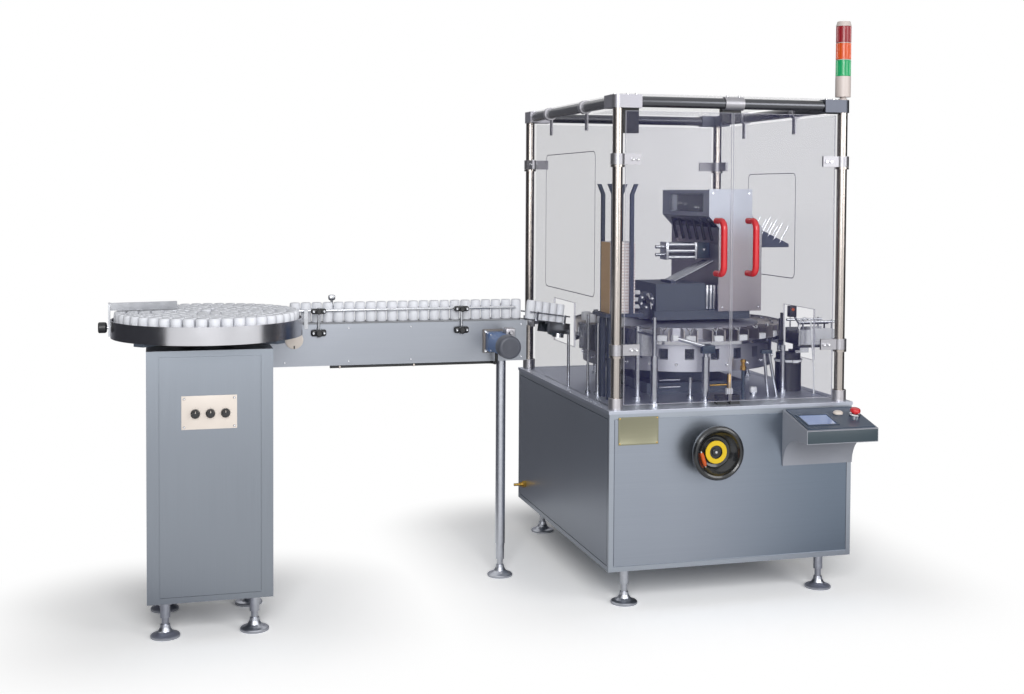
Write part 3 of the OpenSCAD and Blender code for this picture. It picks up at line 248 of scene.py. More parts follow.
finishes = {
    # painted shade: the cabinet sheet darkens towards the right
    "cabinetSheetPaintedShade": groundSheet("stainlessGroundSheetPaintedShade", "#9aa1ab", "#9096a2", across=(0, 0.55, 1.3, "#727d8b")),
    "cabinetCore": groundSheet("stainlessFoldedEdge", "#a4aab3", "#9aa1ab"),
    # painted light: the top face of the deck is paler than its edges
    "deckSheetPaintedTop": groundSheet("stainlessDeckSheetPaintedLight", "#9ca2ac", "#c1c5d2", rough=0.42, along=(900, 3, 3),
                             across=(2, 0.7295, 0.7316, "#d3d7e2")),
    "columnSheet": groundSheet("stainlessColumnSheet", "#8a9098", "#828891", along=(900, 900, 3)),
    "conveyorSheet": groundSheet("stainlessConveyorSheet", "#999da5", "#91959d"),
    "polishedBand": plainMetal("stainlessPolishedBand", "#cfcfd4", 0.2, 0.05, 12),
    "polishedRod": plainMetal("stainlessDrawnRod", "#c3c5ca", 0.22, 0.08, 40),
    "turnedFoot": plainMetal("stainlessTurnedFoot", "#bfc2ca", 0.32),
    "postTube": groundSheet("stainlessSatinTube", "#b9b2ad", "#a8a19c", rough=0.25, along=(700, 700, 3)),
    "railTube": plainMetal("steelBlackenedTube", "#58595d", 0.24, 0.1),
    "castClamp": plainMetal("aluminiumSatinCast", "#a4a3a8", 0.42, 0.2, 180),
    "collarCast": plainMetal("aluminiumTurnedCast", "#b9b7bb", 0.38, 0.12, 120),
    # painted shade: the corner blocks darken towards the right
    "cornerCastPaintedShade": groundSheet("aluminiumCornerCastPaintedShade", "#a3a2a9", "#96959c", rough=0.42, along=(200, 200, 200),
                              across=(0, 0.55, 1.15, "#5a5d66")),
    "clearSheet": clearAcrylic("acrylicCastSheet", "#303062", 0.12),
    "handleRed": mouldedPlastic("polyamideRedGloss", "#c81a25", 0.26, 0.03, 0.4),
    "blackPlastic": mouldedPlastic("polyamideBlackMoulded", "#1b1c1f", 0.42),
    "towerGrey": mouldedPlastic("absPaleGreyMoulded", "#cbc0bb", 0.4),
    "lampGreen": mouldedPlastic("polycarbonateGreenLens", "#109a5e", 0.2, 0.02, 0.3, 0.1),
    "lampAmber": mouldedPlastic("polycarbonateAmberLens", "#c64d10", 0.2, 0.02, 0.3, 0.1),
    "lampRed": mouldedPlastic("polycarbonateRedLens", "#8a1420", 0.2, 0.02, 0.3, 0.1),
    "consoleSheet": sprayedEnamel("steelConsoleEnamelGrey", "#8c8f98", 0.4),
    "consoleFace": sprayedEnamel("steelConsoleEnamelSlate", "#39475a", 0.34),
    "chromeTurned": plainMetal("brassChromePlated", "#d4d5d8", 0.1, 0.04, 20),
    "stopRed": mouldedPlastic("polyamideStopRed", "#d3252a", 0.3, 0.02, 0.3),
    "wheelBlack": mouldedPlastic("phenolicBlackPolished", "#1d1f22", 0.22, 0.02, 0.3),
    "brassTurned": plainMetal("brassTurned", "#c19a4a", 0.24, 0.12, 90),
    "machineGrey": sprayedEnamel("castIronEnamelGrey", "#4d5561", 0.4),
    "folderSheet": groundSheet("stainlessFolderCover", "#a8a2a5", "#9a9498", across=(2, 1.3, 1.47, "#b2b6c0")),
    "drumSheet": groundSheet("stainlessTurnedDrum", "#c3c4cc", "#adaeb7", rough=0.42),
    "finSheet": groundSheet("stainlessMilledFin", "#aaa6a4", "#989492", rough=0.4),
    "darkSteel": plainMetal("steelBlackened", "#4a4d55", 0.36, 0.14),
    "guideBlue": sprayedEnamel("steelGuideEnamelBlue", "#3a4256", 0.4),
    # the sides of the carton stack are painted tan as shade
    "board": foldedBoard("boxboardFlatCartons", "#fbf7f7", "#d6bfba", "#dcb88c"),
    "beltRubber": mouldedPlastic("rubberBeltPlied", "#2b2c2f", 0.7, 0.3),
    "driveBlack": sprayedEnamel("steelDriveEnamelBlack", "#26272b", 0.4),
    "chainSlat": mouldedPlastic("acetalChainSlat", "#8d8f93", 0.4),
    "motorBlue": sprayedEnamel("castAluminiumEnamelBlue", "#4d6690", 0.36),
    "bottleWhite": mouldedPlastic("polyethyleneBottleWhite", "#e4e6ec", 0.6, 0.02, mirror=0.15),
    # pale edge bars of the acrylic: the edges are real, their brightness is a painted highlight
    "acrylicEdgeHighlight": clearAcrylic("acrylicPolishedEdgeHighlight", "#e4e4ef", 0.36, 0.12),
    "padWhite": mouldedPlastic("acetalPadWhite", "#eef0f4", 0.3),
    # dark tinted glass for the window and the carousel panes, and a dark sheet of painted shade on the folder's
    # sloped underside
    "darkGlassAndShade": mouldedPlastic("glassTintedDarkAndShade", "#232b33", 0.14, 0.0, 0.3),
    "slateBox": sprayedEnamel("steelBoxEnamelSlate", "#34424e", 0.4),
    "hatchLine": mouldedPlastic("polyurethaneSealGrey", "#6b6a78", 0.5),
    "flangeBrown": sprayedEnamel("castIronEnamelBrownGrey", "#6f6a68", 0.45),
    "cowlGrey": sprayedEnamel("steelCowlEnamelDark", "#4b4e58", 0.42),
    "creamPlastic": mouldedPlastic("absCreamMoulded", "#ded4cb", 0.4, 0.03),
    "yellowRing": mouldedPlastic("absYellowMoulded", "#d6b512", 0.35, 0.03),
    "gripOrange": mouldedPlastic("phenolicOrangeMoulded", "#c9571f", 0.35, 0.04),
    "plateBrass": groundSheet("brassPlateBrushed", "#94937f", "#878571", rough=0.34),
    "lipEnamel": sprayedEnamel("steelLipEnamelTeal", "#36434b", 0.4),
    "screenGlass": mouldedPlastic("glassScreenBlue", "#8a9cc4", 0.12, 0.0, 0.4, 0.15),
}
wearing = {
    "cabinetSheetPaintedShade": ["cabinet_panels"],
    "cabinetCore": ["base_cabinet"],
    "deckSheetPaintedTop": ["deck_plate"],
    "columnSheet": ["column_body", "column_panel"],
    "conveyorSheet": ["conveyor_frame"],
    "polishedBand": ["table_rim", "table_disc"],
    "polishedRod": ["table_arm", "guide_rails", "bottle_chute", "station_frame", "folder_cylinder", "outfeed_bed"],
    "turnedFoot": ["levelling_feet"],
    "postTube": ["guard_posts"],
    "railTube": ["top_rails"],
    "castClamp": ["panel_clips", "left_hinges", "right_hinges"],
    "cornerCastPaintedShade": ["corner_blocks"],
    "clearSheet": ["roof_panel", "left_guard", "right_guard", "rear_guard", "left_door", "right_door"],
    "handleRed": ["left_handle", "right_handle"],
    "blackPlastic": ["door_catches", "left_knob", "middle_knob", "right_knob", "rail_brackets", "motor_cable"],
    "towerGrey": ["signal_body"],
    "lampGreen": ["green_lamp"],
    "lampAmber": ["amber_lamp"],
    "lampRed": ["red_lamp"],
    "consoleSheet": ["console_box"],
    "consoleFace": ["console_face"],
    "chromeTurned": ["console_switches"],
    "stopRed": ["stop_button"],
    "wheelBlack": ["handwheel"],
    "brassTurned": ["air_inlet"],
    "machineGrey": ["index_base", "folder_stand", "table_pedestal"],
    "drumSheet": ["carousel_drum"],
    "finSheet": ["carousel_fins"],
    "folderSheet": ["folder_housing"],
    "darkSteel": ["carton_picker"],
    "guideBlue": ["magazine", "leaflet_tray"],
    "board": ["carton_stack"],
    "beltRubber": ["outfeed_belt"],
    "driveBlack": ["outfeed_drive"],
    "chainSlat": ["conveyor_belt"],
    "motorBlue": ["belt_motor"],
    "bottleWhite": ["bottles"],
}


def wear(piece, finish):
    piece.data.materials.clear()
    piece.data.materials.append(finishes[finish])


for finish, names in wearing.items():
    for name in names:
        wear(nodes[name], finish)
wear(tube, "padWhite")
print("finishes on", sum(len(names) for names in wearing.values()), "nodes")

# modelling helpers, all sizes in millimetres from the machine corner
toFront = (0, -1, 0)
toTop = (0, 0, 1)


def mode(kind):
    bpy.ops.object.mode_set(mode=kind)


def pick(action):
    bpy.ops.mesh.select_all(action=action)


def leave():
    if bpy.context.object and bpy.context.object.mode != "OBJECT":
        mode("OBJECT")
    bpy.ops.object.select_all(action="DESELECT")


def focus(piece):
    leave()
    piece.select_set(True)
    bpy.context.view_layer.objects.active = piece


def extrude(x, y, z):
    bpy.ops.mesh.extrude_region_move(TRANSFORM_OT_translate={"value": (x / 1000, y / 1000, z / 1000)})


def faceOut():
    pick("SELECT")
    bpy.ops.mesh.normals_make_consistent(inside=False)


def aimed(base, axis):
    return Matrix.Translation(at(*base)) @ Vector(axis).to_track_quat("Z", "Y").to_matrix().to_4x4()


def about(place, move):
    # a move made about a place
    hub = at(*place)
    return Matrix.Translation(hub) @ move @ Matrix.Translation(-hub)


def settle(piece, name, turn=None):
    if piece.mode != "OBJECT":
        mode("OBJECT")
    piece.name = piece.data.name = name
    piece.data.transform((turn or Matrix()) @ piece.matrix_world)
    piece.matrix_world = Matrix()
    return piece


def block(name, low, high, edge=1.0, steps=2):
    leave()
    a, b = at(*low), at(*high)
    bpy.ops.mesh.primitive_cube_add(size=1, location=(a + b) / 2)
    piece = bpy.context.object
    piece.dimensions = b - a
    bpy.ops.object.transform_apply(location=False, rotation=False, scale=True)
    mode("EDIT")
    pick("SELECT")
    bpy.ops.mesh.bevel(offset=edge / 1000, segments=steps)
    return settle(piece, name)


def ring(sides, r, h, fill):
    leave()
    bpy.ops.mesh.primitive_circle_add(vertices=sides, radius=r / 1000, fill_type=fill, location=(0, 0, h / 1000))
    mode("EDIT")
    return bpy.context.object


def turned(name, profile, base, axis=toTop, sides=32, socket=None):
    r, h = profile[0]
    piece = ring(sides, r, h, "NGON")
    for nextR, nextH in profile[1:]:
        extrude(0, 0, nextH - h)
        if abs(nextR - r) > 1e-6:
            bpy.ops.transform.resize(value=(nextR / r, nextR / r, 1))
        r, h = nextR, nextH
    if socket:
        bpy.ops.mesh.inset(thickness=(r - socket[0]) / 1000)
        extrude(0, 0, -socket[1])
    faceOut()
    return settle(piece, name, aimed(base, axis))


def hoop(name, profile, base, axis=toTop, sides=48):
    r, h = profile[0]
    piece = ring(sides, r, h, "NOTHING")
    bpy.ops.mesh.select_mode(type="VERT")
    pick("SELECT")
    for nextR, nextH in profile[1:] + profile[:1]:
        extrude(0, 0, nextH - h)
        bpy.ops.transform.resize(value=(nextR / r, nextR / r, 1))
        r, h = nextR, nextH
    pick("SELECT")
    bpy.ops.mesh.remove_doubles(threshold=1e-5)
    faceOut()
    return settle(piece, name, aimed(base, axis))


def copyOf(source, name, move):
    mesh = source.data.copy()
    mesh.transform(move)
    piece = bpy.data.objects.new(name, mesh)
    bpy.context.scene.collection.objects.link(piece)
    return piece


def joined(name, parts):
    leave()
    for part in parts:
        part.select_set(True)
    bpy.context.view_layer.objects.active = parts[0]
    if len(parts) > 1:
        bpy.ops.object.join()
    parts[0].name = parts[0].data.name = name
    return parts[0]


def done(piece, finish, body="machine", smooth=35):
    focus(piece)
    if smooth:
        bpy.ops.object.shade_smooth_by_angle(angle=math.radians(smooth))
    if finish:
        wear(piece, finish)
    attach(piece, body)
    return piece


def mixed(name, groups, body="machine", smooth=35):
    # several finishes on one piece: each group is worn before the join
    parts = []
    for finish, members in groups.items():
        for member in members:
            wear(member, finish)
            parts.append(member)
    return done(joined(name, parts), None, body, smooth=smooth)


def rod(name, start, end, d, sides=16):
    axis = Vector(end) - Vector(start)
    long, r = axis.length, d / 2
    tip = min(0.8, r / 3)
    return turned(name, [(r - tip, 0), (r, tip), (r, long - tip), (r - tip, long)], start, axis, sides)


# white jars on the table, the conveyor and the chute
jar = {"profile": [(18.4, 0), (19.7, 1.6), (19.7, 66), (18.7, 71.5), (16.4, 74.6)], "sides": 12, "step": 41.4,
       "table": (-1408.29, 270, 1026.3), "rings": 7, "outer": 299.0, "shift": 7, "lane": (-208, 530, 1026.3),
       "inLane": 22, "chute": (-174, 530, 1024), "turn": math.atan(112 / 208), "fall": math.radians(8.7),
       "inChute": 5, "first": 30, "lift": 0.3}


def makeJars():
    first = turned("jarShape", jar["profile"], (0, 0, 0), sides=jar["sides"])
    first.data.transform(Matrix.Translation(-at(0, 0, 0)))
    step = jar["step"]
    spots = []
    x, y, z = jar["table"]
    for k in range(jar["rings"]):
        r = jar["outer"] - k * step
        count = math.floor(2 * math.pi * r / step)
        for i in range(count):
            a = math.radians(i * 360 / count + k * jar["shift"])
            place = Matrix.Translation(at(x + r * math.cos(a), y + r * math.sin(a), z))
            spots.append(place @ Matrix.Rotation(a, 4, "Z"))
    x, y, z = jar["lane"]
    spots += [Matrix.Translation(at(x - i * step, y, z)) for i in range(jar["inLane"])]
    slope = (Matrix.Translation(at(*jar["chute"])) @ Matrix.Rotation(jar["turn"], 4, "Z")
             @ Matrix.Rotation(jar["fall"], 4, "Y"))
    for i in range(jar["inChute"]):
        spots.append(slope @ Matrix.Translation(((jar["first"] + i * step) / 1000, 0, jar["lift"] / 1000)))
    batch = joined("jarBatch", [copyOf(first, "jar", spot) for spot in spots])
    bpy.data.objects.remove(first)
    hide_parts("bottles")
    done(batch, "bottleWhite", smooth=50)
    print("jars:", len(spots))


makeJars()

# cap screws with a hexagon socket, modelled once
screw = {"profile": [(5.2, 0), (5.2, 5.2), (4.4, 6.0)], "socket": (2.7, 3.2), "sides": 14}
screwShape = turned("screwShape", screw["profile"], (0, 0, 0), sides=screw["sides"], socket=screw["socket"])
screwShape.data.transform(Matrix.Translation(-at(0, 0, 0)))


def screws(places, axis=toFront, size=1.0):
    return [copyOf(screwShape, "screw", aimed(place, axis) @ Matrix.Scale(size, 4)) for place in places]


# clear doors and guards: polished edges, drawn as pale bars whose brightness is a painted highlight, and the outlines
# of the two hatches
glazing = {"edge": 1.4, "proud": 0.2, "front": 32, "back": 40, "low": 746, "high": 1823, "round": 0.3,
           "leftDoor": (66, 487), "rightDoor": (493, 914), "line": 3.2, "relief": 0.8, "corner": 26,
           "leftHatch": ((32, 271, 1123), (32, 919, 1684)), "rightHatch": ((948, 415, 1174), (948, 858, 1610)),
           "ports": ((31.8, 40.2, 523.5, 798.5, 903.5, 1082.5), (939.8, 948.2, 235.5, 496.5, 860.5, 1065.5)),
           "portEdge": 1.6, "portLap": 1.5}


def hatchLine(name, spot, out):
    (x, y0, z0), (_, y1, z1) = spot
    leave()
    bpy.ops.mesh.primitive_plane_add(size=1, location=at(x, (y0 + y1) / 2, (z0 + z1) / 2),
                                     rotation=(0, math.radians(90) * out, 0))
    piece = bpy.context.object
    piece.scale = ((z1 - z0) / 1000, (y1 - y0) / 1000, 1)
    bpy.ops.object.transform_apply(location=False, rotation=True, scale=True)
    mode("EDIT")
    pick("SELECT")
    bpy.ops.mesh.bevel(offset=glazing["corner"] / 1000, segments=6, affect="VERTICES")
    bpy.ops.mesh.inset(thickness=glazing["line"] / 1000)
    bpy.ops.mesh.delete(type="FACE")
    pick("SELECT")
    extrude(glazing["relief"] * out, 0, 0)
    faceOut()
    done(settle(piece, name), "hatchLine", smooth=0)


def edgeBars(spots):
    return [block("bar", low, high, glazing["round"], 1) for low, high in spots]


def doorEdges(name, x0, x1, body):
    t, p = glazing["edge"], glazing["proud"]
    y0, y1 = glazing["front"] - p, glazing["back"] + p
    z0, z1 = glazing["low"], glazing["high"]
    bars = edgeBars([((x0 - p, y0, z0), (x0 + t, y1, z1)), ((x1 - t, y0, z0), (x1 + p, y1, z1)),
                     ((x0, y0, z1 - t), (x1, y1, z1 + p)), ((x0, y0, z0 - p), (x1, y1, z0 + t))])
    done(joined(name, bars), "acrylicEdgeHighlight", body)


def portEdges():
    bars = []
    w, lap = glazing["portEdge"], glazing["portLap"]
    for x0, x1, y0, y1, z0, z1 in glazing["ports"]:
        bars += edgeBars([((x0, y0, z0 + lap), (x1, y0 + w, z1 - lap)), ((x0, y1 - w, z0 + lap), (x1, y1, z1 - lap)),
                          ((x0, y0, z1 - w), (x1, y1, z1)), ((x0, y0, z0), (x1, y1, z0 + w))])
    done(joined("portEdges", bars), "acrylicEdgeHighlight")


doorEdges("leftDoorEdge", *glazing["leftDoor"], "left_door")
doorEdges("rightDoorEdge", *glazing["rightDoor"], "right_door")
hatchLine("leftHatchLine", glazing["leftHatch"], -1)
hatchLine("rightHatchLine", glazing["rightHatch"], 1)
portEdges()
print("glazing edged")

# screws on the clamps, corner blocks and catches round the four guard posts
posts = {"x": (36, 944), "y": (36, 1184), "ears": (950, 1647), "along": (54, 73), "out": 14,
         "block": (38, 70), "top": 1881, "catch": (466, 514), "catchTop": 1881.8}


def screwGuard():
    (left, right), (near, far), out = posts["x"], posts["y"], posts["out"]
    heads = [(d, z) for z in posts["ears"] for d in posts["along"]]
    for name, body, x, sign in (("leftDoorScrews", "left_door", left, 1),
                                ("rightDoorScrews", "right_door", right, -1)):
        spots = [(x + sign * d, near - out, z) for d, z in heads]
        done(joined(name, screws(spots, size=1.15)), "chromeTurned", body)
    made = []
    for d, z in heads:
        made += screws([(left - out, far - d, z)], (-1, 0, 0), 1.1)
        made += screws([(right + out, far - d, z)], (1, 0, 0), 1.1)
        made += screws([(left + d, far + out, z), (right - d, far + out, z)], (0, 1, 0), 1.1)
    for x, signX in ((left, 1), (right, -1)):
        for y, signY in ((near, 1), (far, -1)):
            for d in posts["block"]:
                made += screws([(x + signX * d, y, posts["top"]), (x, y + signY * d, posts["top"])], toTop)
    made += screws([(x, near, posts["catchTop"]) for x in posts["catch"]], toTop)
    done(joined("guardScrews", made), "chromeTurned")


screwGuard()
print("guard screwed")

# near and far guide brackets of the conveyor: cast clamp heads on a bright rod
bracket = {"near": (-994, -442), "nearY": 472, "far": ((-930, 1126), (-238, 1084)), "farY": 588,
           "rail": 1072, "foot": 990, "below": 18, "rod": 10, "screws": (-20, 20)}


def clampHead(name, x, y, z, wide, deep, high):
    # an oval casting: a cube drawn out at both ends, then rounded
    a, b, c = wide / 2, deep / 2, high / 2
    return block(name, (x - a, y - b, z - c), (x + a, y + b, z + c), high * 0.32, 4)


def makeBrackets():
    black, bright = [], []
    rail, foot, d = bracket["rail"], bracket["foot"], bracket["rod"]
    y = bracket["nearY"]
    for x in bracket["near"]:
        black += [clampHead("head", x, y + 4, rail, 56, 26, 20),
                  turned("boss", [(9, 0), (11, 2), (11, 10), (8, 13)], (x, y - 9, rail), toFront, 20),
                  clampHead("foot", x, y, foot, 58, 16, 26),
                  turned("boss", [(13, 0), (15, 3), (14, 12), (9, 16)], (x, y - 8, foot), toFront, 20)]
        bright.append(rod("post", (x, y, foot - bracket["below"]), (x, y, rail + 14), d))
        for dx in bracket["screws"]:
            bright += screws([(x + dx, y - 9, rail), (x + dx, y - 8, foot)], size=0.9)
    y = bracket["farY"]
    for x, top in bracket["far"]:
        black += [clampHead("head", x, y - 6, rail, 34, 34, 20), clampHead("foot", x, y, foot, 40, 16, 26)]
        bright += [rod("post", (x, y, foot - bracket["below"]), (x, y, top - 4), d),
                   clampHead("cap", x, y, top - 12, 26, 20, 22)]
    piece = mixed("railBracketSet", {"blackPlastic": black, "polishedRod": bright})
    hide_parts("rail_brackets")


makeBrackets()

# gear motor: flange, finned blue housing, dark fan cowl and terminal box
motor = {"place": (-310, 480, 944), "fins": 9, "pitch": 13, "flange": 46, "gear": 38, "louvres": (8, 14, 20, 26),
         "cowl": [(40, 0), (44, 1.5), (44, 46), (42.5, 51), (39, 54.5), (34, 56), (33.4, 54.6)]}


def makeMotor():
    x, y, z = motor["place"]
    f, g = motor["flange"], motor["gear"]
    flange = block("flange", (x - f, y - 12, z - f), (x + f, y, z + f), 3, 3)
    gear = block("gear", (x - g, y - 66, z - g), (x + g, y - 11, z + g), 8, 4)
    profile = [(34, 0), (41, 2), (41, 8)]
    for i in range(motor["fins"]):
        h = 10 + i * motor["pitch"]
        profile += [(38, h), (38, h + 5), (41, h + 6), (41, h + 11)]
    body = turned("body", profile + [(40, 130)], (x, y - 64, z), toFront, 40)
    cowl = turned("cowl", motor["cowl"], (x, y - 190, z), toFront, 48, socket=(30, 1.2))
    rings = [hoop("louvre", [(r, 0), (r + 1.6, 0), (r + 1.6, 1.3), (r, 1.3)], (x, y - 244.8, z), toFront, 40)
             for r in motor["louvres"]]
    terminal = block("terminal", (x + 14, y - 130, z + 26), (x + 52, y - 76, z + 60), 4, 3)
    gland = turned("gland", [(8, 0), (9, 1), (9, 9), (6.5, 12)], (x + 33, y - 130, z + 44), toFront, 16)
    bolts = []
    for off, depth, size in ((38, 12, 1.1), (29, 66, 0.8)):
        bolts += screws([(x + i * off, y - depth, z + k * off) for i in (-1, 1) for k in (-1, 1)], size=size)
    piece = mixed("gearMotor", {"flangeBrown": [flange], "motorBlue": [gear, body], "cowlGrey": [cowl] + rings,
                                "castClamp": [terminal, gland], "chromeTurned": bolts})
    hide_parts("belt_motor")


makeMotor()

# conveyor side: round cover, cable ties, small screws
side = {"cover": (-1085, 480, 965), "ties": (-912, -626), "cable": (496, 858),
        "screwX": (-1120, -880, -640, -200), "screwZ": (880, 1006)}


def makeSide():
    x, y, z = side["cover"]
    cover = turned("cover", [(34, 0), (34, 3.2), (32.5, 4.2)], (x, y, z), toFront, 40, socket=(28, 0.5))
    notch = block("notch", (x - 2.5, y - 4.4, z - 33), (x + 2.5, y - 3.2, z - 22), 0.4, 1)
    small = screws([(px, y, pz) for px in side["screwX"] for pz in side["screwZ"]], size=0.6)
    ties = []
    y, z = side["cable"]
    for x in side["ties"]:
        ties += [hoop("tie", [(6.4, -2.5), (7.6, -2.5), (7.6, 2.5), (6.4, 2.5)], (x, y, z), (1, 0, 0), 20),
                 block("lock", (x - 3, y - 10, z - 3), (x + 3, y - 6, z + 3), 0.6, 1)]
    mixed("conveyorTrim", {"creamPlastic": [cover] + ties, "blackPlastic": [notch], "chromeTurned": small})


makeSide()
print("conveyor dressed")

# handwheel: dished phenolic wheel with a yellow hub ring and a folding grip
wheel = {"place": (396, -26, 575), "r": 101, "gripStart": (-62, -36, 2), "gripEnd": (-43, -32, -54), "pin": 8}


def makeWheel():
    x, y, z = place = wheel["place"]
    r = wheel["r"]
    dish = [(12, -80), (12, 0), (40, 0.5), (46, 3), (60, 10), (r - 22, 26), (r - 10, 29), (r - 3, 34), (r, 42),
            (r - 1, 51), (r - 6, 57.5), (r - 12, 59.5), (r - 18, 57), (r - 22, 50), (r - 26, 42), (r - 34, 35),
            (56, 22), (46, 19), (44, 24), (43, 27), (24, 27), (23, 22), (15, 22), (14, 29), (12, 30.5)]
    body = turned("body", dish, place, toFront, 72, socket=(6, 5))
    hub = hoop("ring", [(25, 27), (42, 27), (42.6, 28), (41.6, 30), (26, 30), (24.6, 28.6)], place, toFront, 56)
    bolt = turned("bolt", [(6, 0), (6, 5), (5, 6)], (x, y - 25, z), toFront, 6)
    start, end = (Vector(place) + Vector(wheel[k]) for k in ("gripStart", "gripEnd"))
    axis = end - start
    grip = turned("grip", [(4, 0), (7, 3), (8, 14), (7.2, 26), (8, 40), (6.6, 50), (5, 53)], start, axis, 20)
    step = axis.normalized()
    pins = [rod("pin", start - step * 7, start + step * 2, wheel["pin"]),
            rod("pin", end - step * 8, end + step * 4, wheel["pin"])]
    piece = mixed("handwheelDressed", {"wheelBlack": [body], "yellowRing": [hub], "gripOrange": [grip],
                                       "chromeTurned": pins + [bolt]}, "handwheel", 30)
    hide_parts("handwheel")


makeWheel()

# bare plates: pale brass plate on the cabinet, cream plate behind the knobs
plates = {"brass": ((34, -1.6, 605), (190, 0, 708)), "cream": ((-1504, 58, 718), (-1320, 60, 832)),
          "rim": 4, "groove": 1.2, "sunk": 0.5, "rivetIn": 6, "screwIn": 9, "dial": (15.2, 16.2), "marks": 11,
          "markR": (18.8, 20.8)}
knobs = {"left_knob": -1458.29, "middle_knob": -1408.29, "right_knob": -1358.29, "y": 60, "z": 771}


def plateCorners(name, inset):
    (x0, y, z0), (x1, _, z1) = plates[name]
    return [(x, y, z) for x in (x0 + inset, x1 - inset) for z in (z0 + inset, z1 - inset)]


def makeBrassPlate():
    plate = block("plate", *plates["brass"], 0.4, 1)
    focus(plate)
    mode("EDIT")
    pick("DESELECT")
    mode("OBJECT")
    front = max(plate.data.polygons, key=lambda face: -face.normal.y * face.area)
    front.select = True
    mode("EDIT")
    bpy.ops.mesh.select_mode(type="FACE")
    bpy.ops.mesh.inset(thickness=plates["rim"] / 1000)
    bpy.ops.mesh.inset(thickness=plates["groove"] / 1000)
    bpy.ops.transform.translate(value=(0, plates["sunk"] / 1000, 0))
    mode("OBJECT")
    rivets = [turned("rivet", [(2.6, 0), (2.4, 0.8), (1.2, 1.5)], place, toFront, 12)
              for place in plateCorners("brass", plates["rivetIn"])]
    mixed("barePlate", {"plateBrass": [plate], "brassTurned": rivets})


def makeKnobPlate():
    plate = block("plate", *plates["cream"], 0.5, 2)
    y, z = plates["cream"][0][1], knobs["z"]
    (r0, r1), (near, far) = plates["dial"], plates["markR"]
    dials, marks = [], []
    for name in ("left_knob", "middle_knob", "right_knob"):
        x = knobs[name]
        dials.append(hoop("dial", [(r0, 0), (r1, 0), (r1, 0.5), (r0, 0.5)], (x, y, z), toFront, 40))
        for k in range(plates["marks"]):
            a = math.radians(-150 + 30 * k)
            start, end = ((x + math.sin(a) * r, y - 0.1, z + math.cos(a) * r) for r in (near, far))
            marks.append(rod("mark", start, end, 0.7, 6))
    heads = screws(plateCorners("cream", plates["screwIn"]), size=0.75)
    mixed("controlPlate", {"creamPlastic": [plate], "blackPlastic": dials + marks, "chromeTurned": heads})


def makeKnob(name):
    # a cap with a skirt and a pointer line, on its pin
    x, y, z = place = (knobs[name], knobs["y"], knobs["z"])
    cap = turned("cap", [(14.6, 2), (14.6, 6.4), (12.4, 7.6), (11.8, 18), (10.6, 20.2)], place, toFront, 28,
                 socket=(8.8, 0.8))
    pin = turned("pin", [(4, -18), (4, 3)], place, toFront, 16)
    line = block("line", (x - 0.8, y - 20.4, z + 3), (x + 0.8, y - 19.6, z + 11), 0.2, 1)
    piece = mixed(name + "Dressed", {"blackPlastic": [cap, pin], "creamPlastic": [line]}, name)
    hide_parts(name)


makeBrassPlate()
makeKnobPlate()
for name in ("left_knob", "middle_knob", "right_knob"):
    makeKnob(name)

# console: dark lip, screen with bezel, oval lamp, stop mushroom
desk = {"w": 290, "x0": 690, "d": 192, "top": 712, "drop": 48, "face": 4, "lip": (617, 661), "oval": (194, 130.6),
        "stop": (248, 102.9), "glass": (27, 41, 3.0, 143, 127, 4.6),
        "bezel": ((20, 34, 3.6, 150, 42, 6.4), (20, 126, 3.6, 150, 134, 6.4), (20, 40, 3.6, 28, 128, 6.4),
                  (142, 40, 3.6, 150, 128, 6.4))}
slopeTurn = math.atan(desk["drop"] / desk["d"])


def onDesk(u, v, h):
    c, s = math.cos(slopeTurn), math.sin(slopeTurn)
    return (desk["x0"] + u, -desk["d"] + v * c - h * s, desk["top"] - desk["drop"] + v * s + h * c)


def deskBlock(name, u0, v0, h0, u1, v1, h1, edge, steps=2):
    piece = block(name, (0, 0, 0), (u1 - u0, v1 - v0, h1 - h0), edge, steps)
    tilt = Matrix.Rotation(slopeTurn, 4, "X") @ Matrix.Translation(-at(0, 0, 0))
    piece.data.transform(Matrix.Translation(at(*onDesk(u0, v0, h0))) @ tilt)
    return piece


def makeDesk():
    x0, d, (low, high) = desk["x0"], desk["d"], desk["lip"]
    lip = block("lip", (x0 + 3, -d - 1.6, low), (x0 + desk["w"] - 3, -d, high), 0.5, 2)
    up = (0, -math.sin(slopeTurn), math.cos(slopeTurn))
    bezel = [deskBlock("bezel", *bar, 0.7) for bar in desk["bezel"]]
    glass = deskBlock("glass", *desk["glass"], 0.3, 1)
    oval = turned("oval", [(13, 0), (15, 1.5), (15, 6), (12, 9.5), (6, 11)],
                  onDesk(*desk["oval"], desk["face"]), up, 28)
    oval.data.transform(about(onDesk(*desk["oval"], 0), Matrix.Scale(1.3, 4, (1, 0, 0))))
    stop = onDesk(*desk["stop"], desk["face"])
    collar = hoop("collar", [(8.4, 0), (21, 0), (21, 8), (17, 12), (8.4, 12)], stop, up, 36)
    piece = mixed("deskDressing", {"lipEnamel": [lip], "consoleFace": bezel, "screenGlass": [glass],
                                   "creamPlastic": [oval], "chromeTurned": [collar]})
    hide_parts("console_switches")
    mushroom = turned("stopMushroom", [(7.9, 6), (7.9, 17), (19, 18), (19.4, 21), (19, 26), (16.5, 30), (11, 32),
                                       (5, 32.6)], stop, up, 36)
    done(mushroom, "stopRed", "stop_button", 45)
    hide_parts("stop_button")


makeDesk()
print("console dressed")

# signal tower lenses: fluted inside, seen as fine upright ribs
tower = {"place": (944, 36), "low": 1971, "step": 64, "ribs": 42, "ribR": 27.4, "ribD": 2.6}


